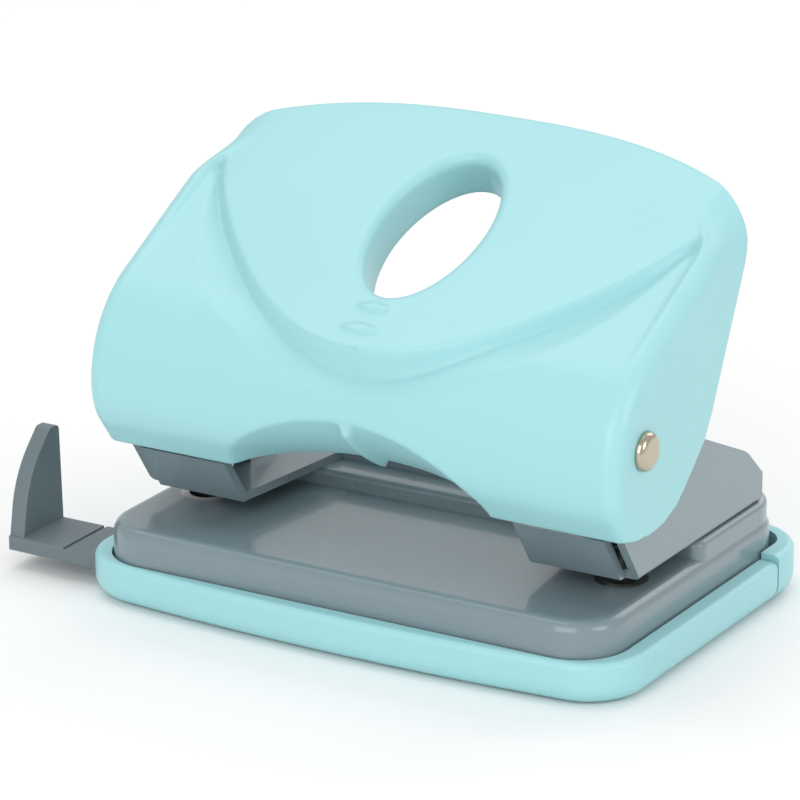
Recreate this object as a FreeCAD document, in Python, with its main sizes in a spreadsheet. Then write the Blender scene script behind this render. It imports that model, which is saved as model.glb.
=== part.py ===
"""Two-hole desk punch: a parametric FreeCAD model of every physical piece.

Millimetres, +Z up.  The origin lies on the desk, under the point midway between the two dies; +X runs
along the row of holes and +Y points away from the paper, towards the rear of the punch.
"""
import FreeCAD, Part
import Sketcher
import math
import os
import re

from FreeCAD import Placement, Rotation, Vector

doc = FreeCAD.newDocument("HolePunch")

# ---------------------------------------------------------------------------------------------- sizes
# Every size that can be chosen by itself, written once.  Lengths in millimetres, angles in degrees.
SIZES = {
    # paper and holes
    "hole_spacing": 80.0,
    "punch_size": 6.0,
    "running_gap": 0.05,
    "die_wall": 1.5,
    "die_height": 3.0,
    "paper_slot": 3.0,
    "deck": 13.5,
    # base plate
    "plate_end": 5.3,
    "plate_front": 22.6,
    "plate_rear": 44.4,
    "plate_wall": 1.5,
    "plate_corner": 9.0,
    "plate_edge_round": 2.2,
    "stop_front": 13.0,
    "stop_inset": 0.5,
    "stop_round": 1.1,
    # chip tray and the rail behind it
    "tray_end": 3.8,
    "tray_wall": 3.4,
    "tray_bow": 3.0,
    "tray_floor": 1.4,
    "tray_rim": 7.4,
    "tray_gap": 0.4,
    "tray_corner": 11.0,
    "tray_foot_round": 3.4,
    "tray_rim_round": 1.2,
    "rail_rim": 8.5,
    "rail_inner_corner": 6.0,
    "seam_inset": 10.9,
    "seam_gap": 0.5,
    "hinge_height": 0.2,
    # paper guide
    "guide_pull": 17.1,
    "guide_inner_end": 14.0,
    "guide_front": 17.5,
    "guide_width": 12.5,
    "guide_thick": 2.5,
    "guide_bottom": 3.0,
    "guide_gap": 0.35,
    "fin_thick": 2.9,
    "fin_height": 19.8,
    "fin_lean": 9.0,
    "fin_bulge": 2.25,
    "fin_bulge_rise": 12.87,
    "fin_taper": 0.9,
    "fin_top_round": 1.0,
    # punch frame
    "frame_inset": 1.3,
    "frame_sheet": 1.5,
    "frame_front": 8.0,
    "wall_front": 6.5,
    "frame_rear_inset": 7.4,
    "frame_rear_height": 5.0,
    "arm_offset": 15.5,
    "cross_front": 19.0,
    "flange_offset": 12.5,
    "flange_slot": 1.3,
    "flange_depth": 1.8,
    "flange_height": 8.6,
    "flange_lean": 6.0,
    "heel_inset": 6.0,
    "wall_heel_rise": 10.5,
    "heel_bend_round": 9.0,
    "wall_crown": 12.0,
    "wall_crown_rise": 19.0,
    "bend_round": 1.0,
    # pivot
    "pivot_back": -12.0,
    "pivot_rise": 27.4,
    "pivot_shank": 4.0,
    "pivot_head": 6.6,
    "pivot_dome": 1.4,
    "pivot_dome_round": 1.26,
    "pivot_lug": 6.0,
    "lug_round": 5.7,
    "washer_size": 9.0,
    "washer_thick": 1.0,
    "peen_size": 6.0,
    "peen_height": 1.2,
    # punch pins, guides and springs
    "pin_head_lip": 1.2,
    "pin_head_height": 1.8,
    "pin_rise": 9.0,
    "pin_tip": 0.3,
    "pin_hollow": 3.6,
    "pin_hollow_depth": 2.0,
    "groove_depth": 0.6,
    "clip_lip": 1.8,
    "clip_thick": 0.9,
    "clip_mouth": 3.2,
    "clip_gap": 0.2,
    "bracket_edge": 2.2,
    "bracket_sheet": 1.5,
    "bracket_top": 18.0,
    "bracket_nose": 5.0,
    "spring_clearance": 0.9,
    "bracket_foot": 8.5,
    "spring_wire": 1.0,
    "spring_turns": 4.5,
    # rivets
    "rivet_shank": 3.0,
    "rivet_head": 5.6,
    "rivet_crown": 3.8,
    "rivet_head_height": 1.1,
    "rivet_inset": 14.0,
    "rivet_offset": 9.2,
    "rivet_margin": 3.4,
    "rivet_rear_inset": 9.0,
    # handle
    "washer_gap": 0.2,
    "handle_wall": 2.0,
    "lip_wall": 2.4,
    "handle_front": 21.4,
    "handle_lip": 15.6,
    "handle_bottom": 12.0,
    "handle_knee": 19.6,
    "handle_slope": 26.0,
    "handle_crest": 46.9,
    "handle_rear": 33.5,
    "handle_rear_bow": 9.5,
    "handle_heel": 2.5,
    "handle_calf": 10.4,
    "handle_calf_rise": 23.5,
    "handle_hip": 24.2,
    "handle_hip_rise": 52.0,
    "handle_skirt": 6.0,
    "front_round": 20.0,
    "knee_round": 12.0,
    "heel_round": 14.0,
    "end_round": 3.2,
    "dome_step": 1.7,
    "dome_inset": 2.9,
    "dome_stretch": 2.7,
    "dome_centre": 30.0,
    "dome_thick": 8.0,
    "dome_round": 2.0,
    "window_width": 22.0,
    "window_length": 37.0,
    "window_centre": 8.3,
    "window_wall": 1.8,
    "window_collar": 7.0,
    "arch_half_width": 23.3,
    "arch_rise": 5.0,
    "rib_offset": 9.5,
    "rib_thick": 2.0,
    "rib_hub": 5.0,
    "rib_round": 3.5,
    "rib_front_rise": 22.6,
    "bar_size": 6.0,
    "bar_gap": 0.1,
    "bar_end_gap": 0.6,
}

# Sizes that follow from others, so that the pieces stay in step when one is changed.
TIED_SIZES = {
    "wall_heel": "frame_rear - heel_inset",
    "dome_depth": "dome_reach + dome_stretch",
    "plate_length": "hole_spacing + punch_size + 2 * plate_end",
    "tray_length": "plate_length + 2 * tray_end",
    "tray_front": "plate_front + tray_wall",
    "tray_rear": "plate_rear + tray_wall",
    "seam": "plate_rear - seam_inset",
    "guide_reach": "tray_length / 2 + guide_pull",
    "frame_width": "plate_length - 2 * frame_inset",
    "frame_rear": "plate_rear - frame_rear_inset",
    "arm_inner": "hole_spacing / 2 - arm_offset",
    "flange_inner": "hole_spacing / 2 - flange_offset",
    "pin_head_size": "punch_size + 2 * pin_head_lip",
    "pin_top": "bracket_top + pin_rise",
    "clip_size": "punch_size + 2 * clip_lip",
    "bracket_width": "punch_size + 2 * bracket_edge",
    "bracket_leg": "spring_size / 2 + spring_clearance",
    "spring_size": "punch_size + 2 * clip_lip",
    "rivet_outset": "hole_spacing / 2 - rivet_offset",
    "rivet_back": "frame_rear - rivet_rear_inset",
    "handle_length": "frame_width + 2 * (washer_thick + washer_gap + handle_wall)",
    "dome_rise": "handle_crest + dome_step",
    "dome_reach": "handle_length / 2 - dome_inset",
    "rib_inner": "hole_spacing / 2 - rib_offset",
}

sizes = doc.addObject("Spreadsheet::Sheet", "Sizes")
cells = {**SIZES, **{alias: "=" + formula for alias, formula in TIED_SIZES.items()}}
for row, (alias, content) in enumerate(cells.items(), start=1):
    sizes.set(f"A{row}", alias)
    sizes.setAlias(f"B{row}", alias)
    sizes.set(f"B{row}", str(content))
doc.recompute()

ALIAS = re.compile(r"\b(" + "|".join(sorted(cells, key=len, reverse=True)) + r")\b")


def bound(expression):
    """The expression with each alias written as a reference to the sheet."""
    return ALIAS.sub(r"Sizes.\1", str(expression))


def value(expression):
    """The present number of an expression of aliases."""
    return float(sizes.evalExpression(bound(expression)))


# Places that several pieces share.
SHELF = "(deck + paper_slot)"
SHELF_TOP = "(deck + paper_slot + frame_sheet)"
PIVOT_Z = "(deck + pivot_rise)"
WALL_OUTER = "(frame_width / 2)"
WALL_INNER = "(frame_width / 2 - frame_sheet)"
HANDLE_END = "(handle_length / 2)"
PLATE_FOOT = "(tray_floor + tray_gap)"
TRAY_INNER = "(plate_length / 2 + tray_gap)"
PIN_TOP = "(deck + pin_top)"
BAR_Z = "(deck + pin_top + bar_gap + bar_size / 2)"
BRACKET_TOP = "(deck + bracket_top)"
CLIP_TOP = "(deck + bracket_top - bracket_sheet - clip_gap)"
SLOPE_RISE = "tan(handle_slope * 1 deg)"
DIE_SIZE = "(punch_size + 2 * running_gap + 2 * die_wall)"
RIVET_PLACES = ("rivet_inset", "rivet_outset")
BRACKET_RIVET_Y = "(bracket_leg + bracket_foot - rivet_margin)"
PIVOT_HEAD_FACE = f"({HANDLE_END} + 2 * running_gap)"
BAR_HALF = f"({WALL_INNER} - bar_end_gap)"


# -------------------------------------------------------------------------------------------- helpers
def new_body(name):
    """A PartDesign body whose label names its file."""
    body = doc.addObject("PartDesign::Body", name)
    body.Label = name
    return body


def new_sketch(body, name, role, height=None):
    """A sketch on one of the body's own origin planes, raised along its normal by an expression."""
    sketch = body.newObject("Sketcher::SketchObject", name)
    plane = next(item for item in body.Origin.OriginFeatures if item.Role == role)
    sketch.AttachmentSupport = (plane, [""])
    sketch.MapMode = "FlatFace"
    if height is not None:
        sketch.setExpression("AttachmentOffset.Base.z", bound(height))
    return sketch


def pin_point(sketch, geometry, end, across, up):
    """Tie one sketch point to the origin with two bound distances."""
    for kind, expression in (("DistanceX", across), ("DistanceY", up)):
        distance = Sketcher.Constraint(kind, -1, 1, geometry, end, value(expression))
        index = sketch.addConstraint(distance)
        sketch.setExpression(f"Constraints[{index}]", bound(expression))


def polygon(sketch, points):
    """A closed outline through points, each an (across, up) pair of expressions."""
    corners = [Vector(value(across), value(up), 0) for across, up in points]
    count = len(corners)
    first = sketch.GeometryCount
    for index in range(count):
        sketch.addGeometry(Part.LineSegment(corners[index], corners[(index + 1) % count]), False)
    for index in range(count):
        following = first + (index + 1) % count
        sketch.addConstraint(Sketcher.Constraint("Coincident", first + index, 2, following, 1))
    for index, (across, up) in enumerate(points):
        pin_point(sketch, first + index, 1, across, up)


def rectangle(sketch, left, right, low, high):
    """A closed rectangle between four expressions."""
    polygon(sketch, [(left, low), (right, low), (right, high), (left, high)])


def rounded_rectangle(sketch, left, right, low, high, radius):
    """A closed rectangle between four expressions, its corners quarter circles of a bound radius."""
    runs = [
        ((f"{left} + {radius}", low), (f"{right} - {radius}", low)),
        ((right, f"{low} + {radius}"), (right, f"{high} - {radius}")),
        ((f"{right} - {radius}", high), (f"{left} + {radius}", high)),
        ((left, f"{high} - {radius}"), (left, f"{low} + {radius}")),
    ]
    centres = [(right, low, -1, 1), (right, high, -1, -1), (left, high, 1, -1), (left, low, 1, 1)]
    for start, end in runs:
        ends = [Vector(value(across), value(up), 0) for across, up in (start, end)]
        line = sketch.addGeometry(Part.LineSegment(*ends), False)
        pin_point(sketch, line, 1, *start)
        pin_point(sketch, line, 2, *end)
    for corner, (across, up, inward_x, inward_y) in enumerate(centres):
        size = value(radius)
        centre = Vector(value(across) + inward_x * size, value(up) + inward_y * size, 0)
        begin = math.radians(90 * corner - 90)
        round_corner = Part.Circle(centre, Vector(0, 0, 1), size)
        arc = sketch.addGeometry(Part.ArcOfCircle(round_corner, begin, begin + math.pi / 2), False)
        following = arc - 4 - corner + (corner + 1) % 4
        sketch.addConstraint(Sketcher.Constraint("Coincident", arc - 4, 2, arc, 1))
        sketch.addConstraint(Sketcher.Constraint("Coincident", arc, 2, following, 1))
        index = sketch.addConstraint(Sketcher.Constraint("Radius", arc, size))
        sketch.setExpression(f"Constraints[{index}]", bound(radius))


def circle(sketch, across, up, diameter):
    """A circle with a bound centre and diameter."""
    centre = Vector(value(across), value(up), 0)
    geometry = sketch.addGeometry(Part.Circle(centre, Vector(0, 0, 1), value(diameter) / 2), False)
    pin_point(sketch, geometry, 3, across, up)
    index = sketch.addConstraint(Sketcher.Constraint("Diameter", geometry, value(diameter)))
    sketch.setExpression(f"Constraints[{index}]", bound(diameter))


def pad(body, sketch, length, both_ways=False, backwards=False):
    """Grow a sketch into the body."""
    feature = body.newObject("PartDesign::Pad", sketch.Name + "Pad")
    feature.Profile = sketch
    feature.setExpression("Length", bound(length))
    feature.SideType = "Symmetric" if both_ways else "One side"
    feature.Reversed = backwards
    sketch.Visibility = False
    doc.recompute()
    return feature


def pocket(body, sketch, length=None, both_ways=False, backwards=False):
    """Cut a sketch out of the body, through everything where no length is given."""
    before = body.Shape.Volume
    feature = body.newObject("PartDesign::Pocket", sketch.Name + "Pocket")
    feature.Profile = sketch
    if length is None:
        feature.Type = "ThroughAll"
    else:
        feature.setExpression("Length", bound(length))
    feature.SideType = "Symmetric" if both_ways else "One side"
    feature.Reversed = backwards
    doc.recompute()
    if body.Shape.Volume > before - 1e-3:
        raise RuntimeError(feature.Name + " cuts nothing")
    return feature


def fillet(body, name, radius, chosen):
    """Round the edges of the body's tip that a test chooses."""
    doc.recompute()
    base = body.Tip
    edges = [f"Edge{index}" for index, edge in enumerate(base.Shape.Edges, start=1) if chosen(edge)]
    if not edges:
        raise RuntimeError(name + " finds no edge")
    feature = body.newObject("PartDesign::Fillet", name)
    feature.Base = (base, edges)
    feature.setExpression("Radius", bound(radius))
    doc.recompute()
    return feature


def near(number, expression, slack=0.02):
    """Whether a number lies at an expression's value."""
    return abs(number - value(expression)) < slack


def is_along(edge, axis):
    """Whether a straight edge runs along a unit axis."""
    if not isinstance(edge.Curve, Part.Line):
        return False
    return abs(abs(edge.Curve.Direction.dot(axis)) - 1) < 1e-6


def boolean(kind, name, base, tool):
    """A Part boolean of two objects."""
    feature = doc.addObject("Part::" + kind, name)
    feature.Base = base
    feature.Tool = tool
    doc.recompute()
    return feature


def join(name, pieces):
    """Several solids as one object; separate solids stay separate."""
    feature = doc.addObject("Part::MultiFuse", name)
    feature.Shapes = pieces
    feature.Label = name
    doc.recompute()
    return feature


def cylinder(name, diameter, height, place, rotation=None):
    """A Part cylinder with bound size and place; its axis is Z unless turned."""
    feature = doc.addObject("Part::Cylinder", name)
    feature.setExpression("Radius", bound(f"({diameter}) / 2"))
    feature.setExpression("Height", bound(height))
    if rotation is not None:
        feature.Placement = Placement(Vector(), rotation)
    for axis, expression in zip("xyz", place):
        feature.setExpression(f"Placement.Base.{axis}", bound(expression))
    return feature


X_AXIS = Vector(1, 0, 0)
Y_AXIS = Vector(0, 1, 0)
Z_AXIS = Vector(0, 0, 1)
SIDES = (("left", -1), ("right", 1))


# --------------------------------------------------------------------------------- base plate and dies
def make_plate_form():
    """The plate's outer form before it is hollowed: a rounded deck with the raised paper stop on it."""
    half = "(plate_length / 2)"
    deck = new_body("plate_deck")
    outline = new_sketch(deck, "PlateOutline", "XY_Plane", PLATE_FOOT)
    rounded_rectangle(outline, f"-{half}", half, "-plate_front", "plate_rear", "plate_corner")
    pad(deck, outline, f"deck - {PLATE_FOOT}")
    fillet(deck, "DeckEdge", "plate_edge_round", lambda edge: is_level(edge, "deck"))
    stop = new_body("plate_stop")
    stop_half = f"({half} - stop_inset)"
    stop_outline = new_sketch(stop, "StopOutline", "XY_Plane", "deck - 2 * plate_edge_round")
    rectangle(stop_outline, f"-{stop_half}", stop_half, "stop_front", "plate_rear - stop_inset")
    pad(stop, stop_outline, "paper_slot + 2 * plate_edge_round")
    for name, radius, back in (("StopRear", "plate_corner - stop_inset", "plate_rear - stop_inset"),
                               ("StopFront", "plate_edge_round", "stop_front")):
        fillet(stop, name, radius,
               lambda edge, back=back: is_along(edge, Z_AXIS) and near(edge.CenterOfMass.y, back))
    fillet(stop, "StopEdge", "stop_round", lambda edge: is_level(edge, SHELF))
    return boolean("Fuse", "plate_form", deck, stop)


def make_base_plate():
    """The pressed steel plate: a deck with a raised paper stop behind it and skirts on every side."""
    half = "(plate_length / 2)"
    form = make_plate_form()
    body = new_body("base_plate")
    body.BaseFeature = form
    doc.recompute()
    hollow = new_sketch(body, "PlateHollow", "XY_Plane", PLATE_FOOT)
    inside = f"({half} - plate_wall)"
    inner_rear = "(plate_rear - plate_wall)"
    inner_corner = "(plate_corner - plate_wall)"
    rounded_rectangle(hollow, f"-{inside}", inside, "-(plate_front - plate_wall)", inner_rear, inner_corner)
    pocket(body, hollow, f"deck - plate_wall - {PLATE_FOOT}", backwards=True)
    loft = new_sketch(body, "StopHollow", "XY_Plane", PLATE_FOOT)
    rounded_rectangle(loft, f"-{inside}", inside, "(stop_front + plate_wall)", inner_rear, inner_corner)
    pocket(body, loft, f"{SHELF} - plate_wall - {PLATE_FOOT}", backwards=True)
    holes = new_sketch(body, "PlateHoles", "XY_Plane", PLATE_FOOT)
    for _, side in SIDES:
        circle(holes, f"{side} * hole_spacing / 2", "0", DIE_SIZE)
        for inset in RIVET_PLACES:
            circle(holes, f"{side} * {inset}", "rivet_back", "rivet_shank")
    pocket(body, holes, backwards=True)
    notch = new_sketch(body, "GuideNotch", "XY_Plane", "tray_floor")
    low, high = guide_sides("guide_gap")
    rectangle(notch, f"-({half} + plate_wall)", f"-({half} - plate_corner)", low, high)
    pocket(body, notch, "guide_bottom + guide_thick + guide_gap - tray_floor", backwards=True)
    return body


def is_level(edge, height):
    """Whether an edge lies flat at a height."""
    box = edge.BoundBox
    return near(box.ZMin, height) and near(box.ZMax, height)


def guide_sides(gap):
    """The two sides of the paper guide's strip, widened by a gap."""
    return f"-(guide_front + {gap})", f"-(guide_front - guide_width - {gap})"


def make_die(side_name, side):
    """A hardened ring pressed into the deck; the punch pin shears the paper against it."""
    centre = (f"{side} * hole_spacing / 2", "0", "deck - die_height")
    ring = cylinder(f"{side_name}_die_ring", DIE_SIZE, "die_height", centre)
    bore_size = "punch_size + 2 * running_gap"
    bore = cylinder(f"{side_name}_die_bore", bore_size, "die_height", centre)
    die = boolean("Cut", f"{side_name}_die", ring, bore)
    die.Label = f"{side_name}_die"
    return die


# -------------------------------------------------------------------------------------- punch frame
def frame_wall_outline():
    """The side wall's outline, seen from the side: a low rear, a shoulder and a lug for the pivot."""
    return [
        ("-wall_front", SHELF),
        ("frame_rear", SHELF),
        ("frame_rear", f"{SHELF} + frame_rear_height"),
        ("wall_heel", f"{SHELF} + wall_heel_rise"),
        ("wall_crown", f"{SHELF} + wall_crown_rise"),
        ("pivot_back + pivot_lug", PIVOT_Z),
        ("pivot_back + pivot_lug", f"{PIVOT_Z} + pivot_lug"),
        ("pivot_back - pivot_lug", f"{PIVOT_Z} + pivot_lug"),
        ("pivot_back - pivot_lug", f"{PIVOT_Z} - pivot_lug"),
        ("-(wall_front + flange_lean)", f"{SHELF} + flange_height"),
    ]


def make_punch_frame():
    """The pressed steel frame: a U-shaped pan with side walls, a rear wall and two leaning front flanges."""
    body = new_body("punch_frame")
    pan = new_sketch(body, "FramePan", "XY_Plane", SHELF)
    flange_outer = f"({WALL_INNER} - flange_slot)"
    polygon(pan, [
        (f"-{WALL_OUTER}", "-wall_front"),
        (f"-{flange_outer}", "-wall_front"),
        (f"-{flange_outer}", "-frame_front"),
        ("-flange_inner", "-frame_front"),
        ("-arm_inner", "cross_front"),
        ("arm_inner", "cross_front"),
        ("flange_inner", "-frame_front"),
        (flange_outer, "-frame_front"),
        (flange_outer, "-wall_front"),
        (WALL_OUTER, "-wall_front"),
        (WALL_OUTER, "frame_rear"),
        (f"-{WALL_OUTER}", "frame_rear"),
    ])
    pad(body, pan, "frame_sheet")
    for side_name, inner_face in (("Left", f"-{WALL_OUTER}"), ("Right", WALL_INNER)):
        wall = new_sketch(body, f"FrameWall{side_name}", "YZ_Plane", inner_face)
        polygon(wall, frame_wall_outline())
        pad(body, wall, "frame_sheet")
    back = new_sketch(body, "FrameBack", "XY_Plane", SHELF)
    rectangle(back, f"-{WALL_OUTER}", WALL_OUTER, "frame_rear - frame_sheet", "frame_rear")
    pad(body, back, "frame_rear_height")
    for side_name, start in (("Left", f"-{flange_outer}"), ("Right", "flange_inner")):
        flange = new_sketch(body, f"FrameFlange{side_name}", "YZ_Plane", start)
        polygon(flange, [
            ("-frame_front", SHELF),
            ("flange_depth - frame_front", SHELF),
            ("flange_depth - frame_front - flange_lean", f"{SHELF} + flange_height"),
            ("-(frame_front + flange_lean)", f"{SHELF} + flange_height"),
        ])
        pad(body, flange, f"{flange_outer} - flange_inner")

    def is_lug_corner(edge):
        centre = edge.CenterOfMass
        return is_along(edge, X_AXIS) and near(centre.z, f"{PIVOT_Z} + pivot_lug")

    def is_heel(edge):
        centre = edge.CenterOfMass
        return is_along(edge, X_AXIS) and near(centre.y, "wall_heel")

    def is_bend(edge):
        centre = edge.CenterOfMass
        side = is_along(edge, Y_AXIS) and near(abs(centre.x), WALL_OUTER)
        rear = is_along(edge, X_AXIS) and near(centre.y, "frame_rear")
        return near(centre.z, SHELF) and (side or rear)

    fillet(body, "LugRound", "lug_round", is_lug_corner)
    fillet(body, "HeelRound", "heel_bend_round", is_heel)
    fillet(body, "BendRound", "bend_round", is_bend)
    holes = new_sketch(body, "FrameHoles", "XY_Plane", SHELF)
    for _, side in SIDES:
        circle(holes, f"{side} * hole_spacing / 2", "0", "punch_size + 2 * running_gap")
        circle(holes, f"{side} * hole_spacing / 2", BRACKET_RIVET_Y, "rivet_shank")
        for inset in RIVET_PLACES:
            circle(holes, f"{side} * {inset}", "rivet_back", "rivet_shank")
    pocket(body, holes, "2 * frame_sheet", backwards=True)
    pivots = new_sketch(body, "PivotHoles", "YZ_Plane", f"-{WALL_OUTER}")
    circle(pivots, "pivot_back", PIVOT_Z, "pivot_shank")
    pocket(body, pivots, backwards=True)
    return body


def rivet(name, across, back, low, high, with_foot):
    """One rivet: a shank from low to high, a tapered head above it and, where there is room, one below."""
    shank = cylinder(name + "_shank", "rivet_shank", f"({high}) - ({low})", (across, back, low))
    pieces = [shank]
    ends = [("top", high, 1)]
    if with_foot:
        ends.append(("foot", low, -1))
    for end_name, height, direction in ends:
        head = doc.addObject("Part::Cone", f"{name}_{end_name}")
        head.setExpression("Radius1", bound("rivet_head / 2"))
        head.setExpression("Radius2", bound("rivet_crown / 2"))
        head.setExpression("Height", bound("rivet_head_height"))
        if direction < 0:
            head.Placement = Placement(Vector(), Rotation(X_AXIS, 180))
        for axis, expression in zip("xyz", (across, back, height)):
            head.setExpression(f"Placement.Base.{axis}", bound(expression))
        pieces.append(head)
    return join(name, pieces)


def make_frame_rivets():
    """Four rivets through the frame's pan and the raised part of the base plate."""
    pieces = []
    for side_name, side in SIDES:
        for number, inset in enumerate(RIVET_PLACES, start=1):
            name = f"frame_rivet_{side_name}_{number}"
            low = f"{SHELF} - plate_wall"
            pieces.append(rivet(name, f"{side} * {inset}", "rivet_back", low, SHELF_TOP, True))
    return join("frame_rivets", pieces)


# --------------------------------------------------------------------------- guides, pins and springs
def make_guide_bracket(side_name, side):
    """A bent steel bracket whose upper shelf guides the punch pin."""
    body = new_body(f"{side_name}_guide_bracket")
    middle = f"{side} * hole_spacing / 2"
    outline = new_sketch(body, f"BracketOutline{side_name}", "YZ_Plane", middle)
    polygon(outline, [
        ("bracket_leg", SHELF_TOP),
        ("bracket_leg + bracket_foot", SHELF_TOP),
        ("bracket_leg + bracket_foot", f"{SHELF_TOP} + bracket_sheet"),
        ("bracket_leg + bracket_sheet", f"{SHELF_TOP} + bracket_sheet"),
        ("bracket_leg + bracket_sheet", BRACKET_TOP),
        ("-bracket_nose", BRACKET_TOP),
        ("-bracket_nose", f"{BRACKET_TOP} - bracket_sheet"),
        ("bracket_leg", f"{BRACKET_TOP} - bracket_sheet"),
    ])
    pad(body, outline, "bracket_width", both_ways=True)

    def is_outer_bend(edge):
        centre = edge.CenterOfMass
        at_leg = near(centre.y, "bracket_leg + bracket_sheet") and near(centre.z, BRACKET_TOP)
        return is_along(edge, X_AXIS) and at_leg

    fillet(body, f"BracketBend{side_name}", "bend_round", is_outer_bend)
    bore = new_sketch(body, f"BracketBore{side_name}", "XY_Plane", SHELF_TOP)
    circle(bore, middle, "0", "punch_size + 2 * running_gap")
    circle(bore, middle, BRACKET_RIVET_Y, "rivet_shank")
    pocket(body, bore, backwards=True)
    return body


def make_bracket_rivets():
    """Two rivets that fix the guide brackets; their lower ends are flush with the paper slot."""
    pieces = []
    for side_name, side in SIDES:
        name = f"bracket_rivet_{side_name}"
        top = f"{SHELF_TOP} + bracket_sheet"
        across = f"{side} * hole_spacing / 2"
        pieces.append(rivet(name, across, BRACKET_RIVET_Y, SHELF, top, False))
    return join("guide_bracket_rivets", pieces)


def spin(body, sketch, axis):
    """Revolve a sketch about one of its own axes."""
    feature = body.newObject("PartDesign::Revolution", sketch.Name + "Turned")
    feature.Profile = sketch
    feature.ReferenceAxis = (sketch, [axis])
    feature.Angle = 360
    doc.recompute()
    return feature


def make_punch_pin(side_name, side):
    """A steel punch pin: hollow-ground tip, groove for the clip and a flat head under the press bar."""
    body = new_body(f"{side_name}_punch_pin")
    profile = new_sketch(body, f"PinProfile{side_name}", "XZ_Plane")
    radius = "punch_size / 2"
    tip = f"{SHELF} + pin_tip"
    neck = f"{radius} - groove_depth"
    head_low = f"{PIN_TOP} - pin_head_height"
    polygon(profile, [
        ("0", f"{tip} + pin_hollow_depth"),
        ("pin_hollow / 2", f"{tip} + pin_hollow_depth"),
        (radius, tip),
        (radius, f"{CLIP_TOP} - clip_thick"),
        (neck, f"{CLIP_TOP} - clip_thick"),
        (neck, CLIP_TOP),
        (radius, CLIP_TOP),
        (radius, head_low),
        ("pin_head_size / 2", head_low),
        ("pin_head_size / 2", PIN_TOP),
        ("0", PIN_TOP),
    ])
    spin(body, profile, "V_Axis")
    body.setExpression("Placement.Base.x", bound(f"{side} * hole_spacing / 2"))
    return body


def make_retaining_clip(side_name, side):
    """A spring-steel clip snapped into the pin's groove; it stops the pin and carries the spring."""
    body = new_body(f"{side_name}_retaining_clip")
    ring = new_sketch(body, f"ClipRing{side_name}", "XY_Plane", f"{CLIP_TOP} - clip_thick")
    circle(ring, "0", "0", "clip_size")
    circle(ring, "0", "0", "punch_size - 2 * groove_depth")
    pad(body, ring, "clip_thick")
    mouth = new_sketch(body, f"ClipMouth{side_name}", "XY_Plane", f"{CLIP_TOP} - clip_thick")
    rectangle(mouth, "-clip_mouth / 2", "clip_mouth / 2", "-clip_size", "0")
    pocket(body, mouth, "clip_thick", backwards=True)
    body.setExpression("Placement.Base.x", bound(f"{side} * hole_spacing / 2"))
    return body


def make_return_spring(side_name, side):
    """A compression spring between the frame's shelf and the retaining clip."""
    name = f"{side_name}_return_spring"
    room = f"({CLIP_TOP} - clip_thick - {SHELF_TOP} - spring_wire)"
    helix = doc.addObject("Part::Helix", name + "_path")
    helix.setExpression("Pitch", bound(f"{room} / spring_turns"))
    helix.setExpression("Height", bound(room))
    helix.setExpression("Radius", bound("(spring_size - spring_wire) / 2"))
    helix.SegmentLength = 1
    wire = doc.addObject("Part::Circle", name + "_wire")
    wire.setExpression("Radius", bound("spring_wire / 2"))
    wire.Placement = Placement(Vector(), Rotation(X_AXIS, 90))
    wire.setExpression("Placement.Base.x", bound("(spring_size - spring_wire) / 2"))
    doc.recompute()
    spring = doc.addObject("Part::Sweep", name)
    spring.Sections = [wire]
    spring.Spine = (helix, [f"Edge{number}" for number in range(1, len(helix.Shape.Edges) + 1)])
    spring.Solid = True
    spring.Frenet = True
    spring.Label = name
    spring.setExpression("Placement.Base.x", bound(f"{side} * hole_spacing / 2"))
    spring.setExpression("Placement.Base.z", bound(f"{SHELF_TOP} + spring_wire / 2"))
    return spring


# --------------------------------------------------------------------------------------------- pivots
def make_pivot_rivet(side_name, side):
    """The rivet that the handle turns on: domed outside the handle, peened inside the frame wall."""
    body = new_body(f"{side_name}_pivot_rivet")
    profile = new_sketch(body, f"PivotProfile{side_name}", "XY_Plane")
    polygon(profile, [
        (f"{WALL_INNER} - peen_height", "0"),
        (f"{WALL_INNER} - peen_height", "peen_size / 2"),
        (WALL_INNER, "peen_size / 2"),
        (WALL_INNER, "pivot_shank / 2"),
        (PIVOT_HEAD_FACE, "pivot_shank / 2"),
        (PIVOT_HEAD_FACE, "pivot_head / 2"),
        (f"{PIVOT_HEAD_FACE} + pivot_dome", "pivot_head / 2"),
        (f"{PIVOT_HEAD_FACE} + pivot_dome", "0"),
    ])
    spin(body, profile, "H_Axis")

    def is_dome_edge(edge):
        return near(edge.CenterOfMass.x, f"{PIVOT_HEAD_FACE} + pivot_dome")

    fillet(body, f"PivotDome{side_name}", "pivot_dome_round", is_dome_edge)
    if side < 0:
        body.Placement = Placement(Vector(), Rotation(Z_AXIS, 180))
    body.setExpression("Placement.Base.y", bound("pivot_back"))
    body.setExpression("Placement.Base.z", bound(PIVOT_Z))
    return body


def make_pivot_washer(side_name, side):
    """A thin washer on the rivet, between the frame wall and the handle's end wall."""
    start = WALL_OUTER if side > 0 else f"-({WALL_OUTER} + washer_thick)"
    place = (start, "pivot_back", PIVOT_Z)
    along = Rotation(Y_AXIS, 90)
    name = f"{side_name}_pivot_washer"
    disc = cylinder(name + "_disc", "washer_size", "washer_thick", place, along)
    bore = cylinder(name + "_bore", "pivot_shank", "washer_thick", place, along)
    washer = boolean("Cut", name, disc, bore)
    washer.Label = name
    return washer


# --------------------------------------------------------------------------------------------- handle
def crest(back):
    """The height of the handle's plain upper surface at a distance back from the dies."""
    return f"(deck + handle_crest + ({back}) * {SLOPE_RISE})"


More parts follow.
